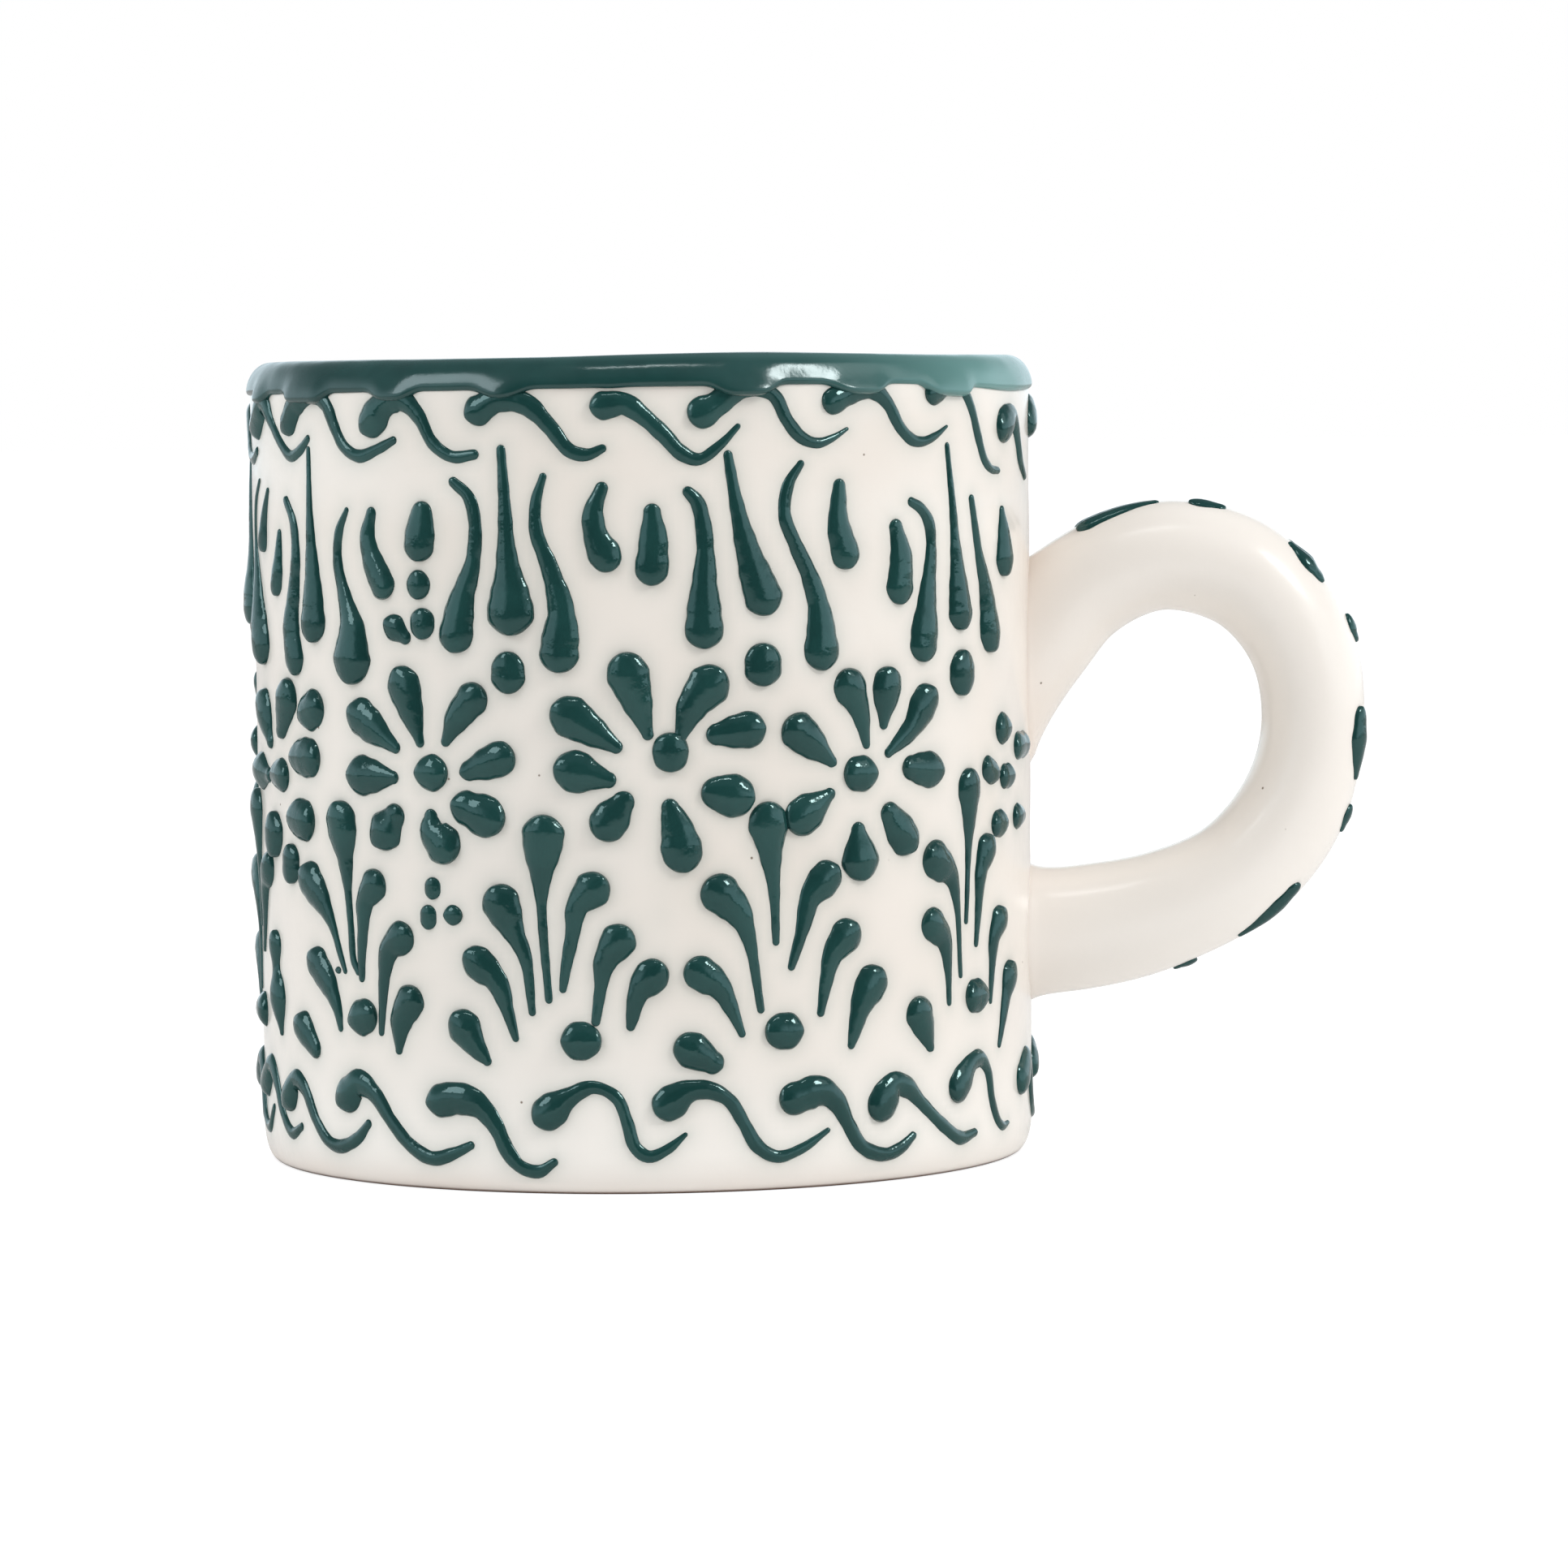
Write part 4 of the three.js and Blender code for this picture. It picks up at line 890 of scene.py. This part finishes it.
DOT_FLOWER = [
    [(48.5, 46.2, 1.7), (48.6, 46.2, 1.7)],
    [(44.9, 42.1, 1.45), (45.5, 41.8, 1.45)],
    [(49.1, 41.1, 1.4), (49.9, 41.1, 1.4)],
    [(47.1, 36.2, 1.5), (47.7, 36.2, 1.5)],
    [(53.2, 36.6, 1.45), (54.3, 36.6, 1.2)],
    [(53.7, 44.1, 1.5), (56.1, 44.1, 1.5)],
]
SIDE_TOUCHES = [
    [(-76.4, 64.6, 1.75), (-76.1, 67.3, 1.35), (-75.3, 70.8, 0.65)],
    [(-74.6, 31, 0.97), (-74.6, 31.4, 0.97)],
    [(-75.3, 27.9, 1), (-75.3, 28.5, 1)],
    [(-72.3, 28.5, 1.05), (-72.2, 28.5, 1.05)],
    [(-71, 24, 1.9), (-72.4, 21.6, 1.2), (-73.1, 17.6, 0.5)],
    [(-78.6, 23.4, 1.9), (-77, 21.2, 1.3), (-76, 17.4, 0.5)],
    [(-75.6, 15, 1.6), (-74, 13.2, 0.8)],
]
for name, strokes in (("short_drops", SHORT_DROPS), ("single_dots", DOTS), ("foot_beads", FOOT_BEADS)):
    trailed_on_wall(name, strokes + shifted(strokes, HALF_ROUND))
trailed_on_wall("dot_flower", DOT_FLOWER)
trailed_on_wall("side_touches", SIDE_TOUCHES)

# Strokes on the handle
# Slip touched along the back of the handle: pairs of slanting dashes on either side of its ridge, and a
# single dot by the ridge after each pair.
RIDGE_DEGREE = np.pi / 180 * HANDLE_WIDTH / 2
# Strokes as (share of the handle's length, degrees off the ridge, half width). A pair's first number is
# how far off the ridge its far dash lies, as a share of the near one's degrees.
HANDLE_PAIRS = [
    (1.0, [(0.268, 20, 1.2), (0.287, 18, 1.0), (0.316, 11, 0.4)]),
    (0.65, [(0.447, 25, 0.8), (0.437, 25, 1.35), (0.421, 21, 0.6)]),
    (1.0, [(0.564, 31, 1.35), (0.579, 31, 1.6), (0.592, 29, 1.3), (0.607, 24, 0.6)]),
    (0.65, [(0.713, 32, 1.0), (0.728, 30, 1.25), (0.761, 23, 0.5)]),
]
HANDLE_DOTS = [
    [(0.349, 13, 1.05), (0.361, 12, 0.7)],
    [(0.493, 11, 1.1), (0.497, 10, 0.8)],
    [(0.641, 14, 1.05), (0.648, 12, 0.7)],
    [(0.812, 2, 1.0), (0.819, 2, 0.7)],
]


def along_handle(stroke, side):
    """A stroke on the handle in mm: round it from the ridge to one side, and along it."""
    return [(side * degrees * RIDGE_DEGREE, share * handle_length, half) for share, degrees, half in stroke]


for number, (far_share, stroke) in enumerate(HANDLE_PAIRS, 1):
    for hand, side in (("near", 1), ("far", -far_share)):
        dash = along_handle(stroke, side)
        trailed(f"dash_{number}_{hand}", [dash], on_handle, f"handle_stroke_{number}_{hand}")
trailed("ridge_dots", [along_handle(stroke, 1) for stroke in HANDLE_DOTS], on_handle)

# Marks and painted light in the body's glaze
# In the kiln a little green bleeds from the slip into the white around it, laid with painted shade at the
# foot of each bead. The glaze is painted whiter towards the foot, as painted light thrown up from the table.
# The red clay blushes through where the glaze lies thinly at the base edge, the wall is warmer and darker
# near the handle's upper root, and the base shows unglazed clay, laid also as a painted contact shadow
# along the bottom edge.
BLEED_AND_SHADE_REACH = 0.9
BLEED_AND_SHADE_FROM = 1.0
BLEED_AND_SHADE_STEP = 1.0
CLEAR_OF_SLIP = 10.0
SMUDGE_ACROSS = 2.6
SMUDGE_UP = 28.7
SMUDGE_HALF_WIDTH = 1.6
SMUDGE_HALF_HEIGHT = 2.6
SMUDGE_SHARE = 0.3
BLUSH_HEIGHT = 2.2
BLUSH_SHARE = 0.20
BLUSH_LEFTWARD = 0.12
# Warmer and darker on the wall near the handle's upper root.
ROOT_BLUSH = 0.15
ROOT_BLUSH_UP = 53.0
ROOT_BLUSH_HALF_WIDTH = 9.0
ROOT_BLUSH_HALF_HEIGHT = 12.0
# Painted light thrown up from the table: the glaze is whitened towards the foot over about this height.
PAINTED_BOUNCE_HEIGHT = 13.0
BARE_AND_SHADOW_HEIGHT = 0.38
BARE_AND_SHADOW_FADE = 0.22
body_height = body_points[:, 2]
body_radius = np.hypot(body_points[:, 0], body_points[:, 1])
outside = body_radius > TOP_RADIUS - WALL / 2
by_slip = outside & (body_height > BLEED_AND_SHADE_FROM)
wall_across = np.arctan2(body_points[by_slip, 0], -body_points[by_slip, 1]) / TURN * GIRTH
wall_up = body_height[by_slip]
clear = np.full(by_slip.sum(), CLEAR_OF_SLIP)
for stroke in laid_slip:
    samples = smooth_line(stroke, BLEED_AND_SHADE_STEP)[0]
    sideways = wrapped(wall_across[:, None] - samples[:, 0])
    clear = np.minimum(clear, (np.hypot(sideways, wall_up[:, None] - samples[:, 1]) - samples[:, 2]).min(1))
smudge_across = (wall_across - SMUDGE_ACROSS) / SMUDGE_HALF_WIDTH
smudge_up = (wall_up - SMUDGE_UP) / SMUDGE_HALF_HEIGHT
# Bled green round each bead, with painted shade where the bead meets the wall, fading with the distance from
# it.
bleed_and_painted_shade = np.zeros(len(body_points))
bleed_and_painted_shade[by_slip] = np.exp(-np.clip(clear, 0, None) / BLEED_AND_SHADE_REACH)
bleed_and_painted_shade[by_slip] += SMUDGE_SHARE * np.exp(-(np.hypot(smudge_across, smudge_up) ** 2))
low_blush = BLUSH_SHARE - BLUSH_LEFTWARD * body_points[:, 0] / LOW_RADIUS
low_blush = low_blush * np.exp(-((body_height / BLUSH_HEIGHT) ** 2))
root_up = (body_height - ROOT_BLUSH_UP) / ROOT_BLUSH_HALF_HEIGHT
from_root = np.hypot(body_points[:, 1] / ROOT_BLUSH_HALF_WIDTH, root_up)
root_blush = ROOT_BLUSH * np.exp(-(from_root**2)) * (body_points[:, 0] > 0)
set_share(body, "bleed_and_painted_shade", bleed_and_painted_shade)
set_share(body, "blush", np.where(outside, np.maximum(low_blush, root_blush), 0))
# Painted light: whiter towards the foot, for light thrown up from the table.
set_share(body, "painted_brightening", np.exp(-((body_height / PAINTED_BOUNCE_HEIGHT) ** 2)) * outside)
# Unglazed clay and painted contact shadow up to a fraction of a mm above the base.
set_share(body, "bare_and_painted_shadow", np.clip((BARE_AND_SHADOW_HEIGHT - body_height) / BARE_AND_SHADOW_FADE, 0, 1))

# Table
# A matt white table without an edge, which keeps the cup's shadow. Seen by itself it glows up to white,
# and mirrored in the glaze it darkens towards the camera.
TABLE_HALF = 12.0
TABLE_WHITE = (0.92, 0.92, 0.92, 1.0)
TABLE_SEEN = (0.36, 0.36, 0.36, 1.0)
TABLE_GLOW = 0.78
TABLE_MIRRORED = 0.7
TABLE_MIRRORED_FROM = -0.08
TABLE_DARK = 0.03
TABLE_DARK_FROM = -0.55


def matt(tree, colour):
    """A matt surface of one colour, or of a shade that another node gives."""
    return wired(tree, "BsdfDiffuse", {"Color": colour})["BSDF"]


def by_ray(tree, kind, others, these):
    """One shader for all other rays, and another for rays of the named kind."""
    chosen = wired(tree, "LightPath", {})[kind]
    return wired(tree, "MixShader", {"Fac": chosen, 1: others, 2: these})["Shader"]


table_mesh = bpy.data.meshes.new("table")
corners = np.array([(-1, -1, 0), (1, -1, 0), (1, 1, 0), (-1, 1, 0)]) * TABLE_HALF
table_mesh.from_pydata(corners.tolist(), [], [[0, 1, 2, 3]])
table = bpy.data.objects.new("table", table_mesh)
bpy.context.scene.collection.objects.link(table)
table_finish = bpy.data.materials.new("white_table")
table_finish.use_nodes = True
table_mesh.materials.append(table_finish)
top = table_finish.node_tree
top.nodes.clear()
top_place = wired(top, "TexCoord", {})["Object"]
top_depth = wired(top, "SeparateXYZ", {"Vector": top_place})["Y"]
top_shade = ramp(top, top_depth, TABLE_DARK_FROM, TABLE_MIRRORED_FROM, TABLE_DARK, TABLE_MIRRORED)
top_glow = wired(top, "Emission", {"Strength": TABLE_GLOW})["Emission"]
top_seen = wired(top, "AddShader", {0: matt(top, TABLE_SEEN), 1: top_glow})["Shader"]
top_unseen = by_ray(top, "Is Glossy Ray", matt(top, TABLE_WHITE), matt(top, top_shade))
wired(top, "OutputMaterial", {"Surface": by_ray(top, "Is Camera Ray", top_unseen, top_seen)})

# Room and lamps
# A white room, brightest at its back and ceiling. Mirrored in the glaze it is dark behind the camera and
# bright at the sides. A small window and a wall beside it light the cup from the right, a soft box from
# the left, and a strip of lamps from above.
ROOM_WHITE = (1.0, 1.0, 1.0, 1.0)
ROOM_MIRRORED = (0.86, 1.0, 1.08, 1.0)
ROOM_FRONT = 0.41
ROOM_BACK = 1.0
ROOM_CEILING = 1.28
MIRRORED_DARK = 0.03
MIRRORED_BACK = 1.2
MIRRORED_RIGHT = 1.5
MIRRORED_CEILING = 0.2
CUP_MIDDLE = (0, 0, 0.045)
DAYLIGHT = (1.0, 1.0, 1.0)
COOL_LIGHT = (0.93, 1.0, 1.05)


def room_light(colour, strength):
    """Light from all the room, of one colour; its strength is a constant or comes from another node."""
    return wired(room, "Background", {"Color": colour, "Strength": strength})["Background"]


def stand(thing, place, right, upward, back):
    """Stands a lamp or a camera at a place, with its right, its top and its back along three directions."""
    pose = np.eye(4)
    pose[:3, :3] = np.stack([right, upward, back], -1)
    pose[:3, 3] = place
    thing.matrix_world = Matrix(pose.tolist())
    bpy.context.scene.collection.objects.link(thing)


def soft_box(name, place, width, tall, glow, tint):
    """A rectangular area lamp that faces the middle of the cup; its power is pi times its area and glow."""
    lamp = bpy.data.lights.new(name, "AREA")
    lamp.shape = "RECTANGLE"
    lamp.size = width
    lamp.size_y = tall
    lamp.energy = np.pi * width * tall * glow
    lamp.color = tint
    away = np.array(place) - np.array(CUP_MIDDLE)
    away = away / np.linalg.norm(away)
    across = np.cross([0, 0, 1], away)
    across = across / np.linalg.norm(across)
    stand(bpy.data.objects.new(name, lamp), place, across, np.cross(away, across), away)


world = bpy.data.worlds.new("bright_room")
bpy.context.scene.world = world
world.use_nodes = True
room = world.node_tree
room.nodes.clear()
room_place = wired(room, "TexCoord", {})["Generated"]
room_side, room_depth, room_height = wired(room, "SeparateXYZ", {"Vector": room_place})
at_back = ramp(room, room_depth, low=-0.88, high=-0.64, low_out=MIRRORED_DARK, high_out=MIRRORED_BACK)
at_right = ramp(room, room_side, low=0.45, high=0.75, high_out=MIRRORED_RIGHT)
brighter = wired(room, "Math", {0: at_back, 1: at_right}, operation="MAXIMUM")["Value"]
below_ceiling = ramp(room, room_height, low=0.2, high=0.55, low_out=1.0, high_out=MIRRORED_CEILING)
mirrored = room_light(ROOM_MIRRORED, times(room, brighter, below_ceiling))
on_walls = ramp(room, room_depth, low=-1.0, high=1.0, low_out=ROOM_FRONT, high_out=ROOM_BACK)
on_ceiling = ramp(room, room_height, low=0.2, high=0.9, low_out=1.0, high_out=ROOM_CEILING)
filling = room_light(ROOM_WHITE, times(room, on_walls, on_ceiling))
room_seen = room_light(ROOM_WHITE, 1.0)
room_unseen = by_ray(room, "Is Glossy Ray", filling, mirrored)
wired(room, "OutputWorld", {"Surface": by_ray(room, "Is Camera Ray", room_unseen, room_seen)})
soft_box("right_window", place=(0.63, -0.37, 0.57), width=0.16, tall=0.22, glow=20.5, tint=DAYLIGHT)
soft_box("right_wall", place=(0.70, -0.19, 0.57), width=0.36, tall=0.42, glow=1.0, tint=DAYLIGHT)
soft_box("left_soft_box", place=(-0.61, -0.34, 0.53), width=0.36, tall=0.36, glow=4.4, tint=COOL_LIGHT)
soft_box("top_strip", place=(0.02, -0.30, 0.80), width=0.28, tall=0.035, glow=14.0, tint=DAYLIGHT)

# Camera
# A long lens a little below the height of the lip, square to the side that has the handle at its right.
# It looks a little down and is rolled by half a degree, as the photo is.
CAMERA_PLACE = (15.1, -693.0, 80.7)
CAMERA_PITCH = np.radians(3.40)
CAMERA_ROLL = np.radians(-0.60)
CAMERA_SENSOR = 36
CAMERA_LENS = 147.15
camera_data = bpy.data.cameras.new("camera")
camera_data.sensor_width = CAMERA_SENSOR
camera_data.lens = CAMERA_LENS
camera = bpy.data.objects.new("camera", camera_data)
forward = np.array([0, np.cos(CAMERA_PITCH), -np.sin(CAMERA_PITCH)])
level = np.array([1.0, 0, 0])
upright = np.cross(level, forward)
rolled_right = np.cos(CAMERA_ROLL) * level + np.sin(CAMERA_ROLL) * upright
rolled_up = -np.sin(CAMERA_ROLL) * level + np.cos(CAMERA_ROLL) * upright
stand(camera, np.array(CAMERA_PLACE) * MM, rolled_right, rolled_up, -forward)
bpy.context.scene.camera = camera
bpy.context.scene.view_settings.view_transform = "Standard"
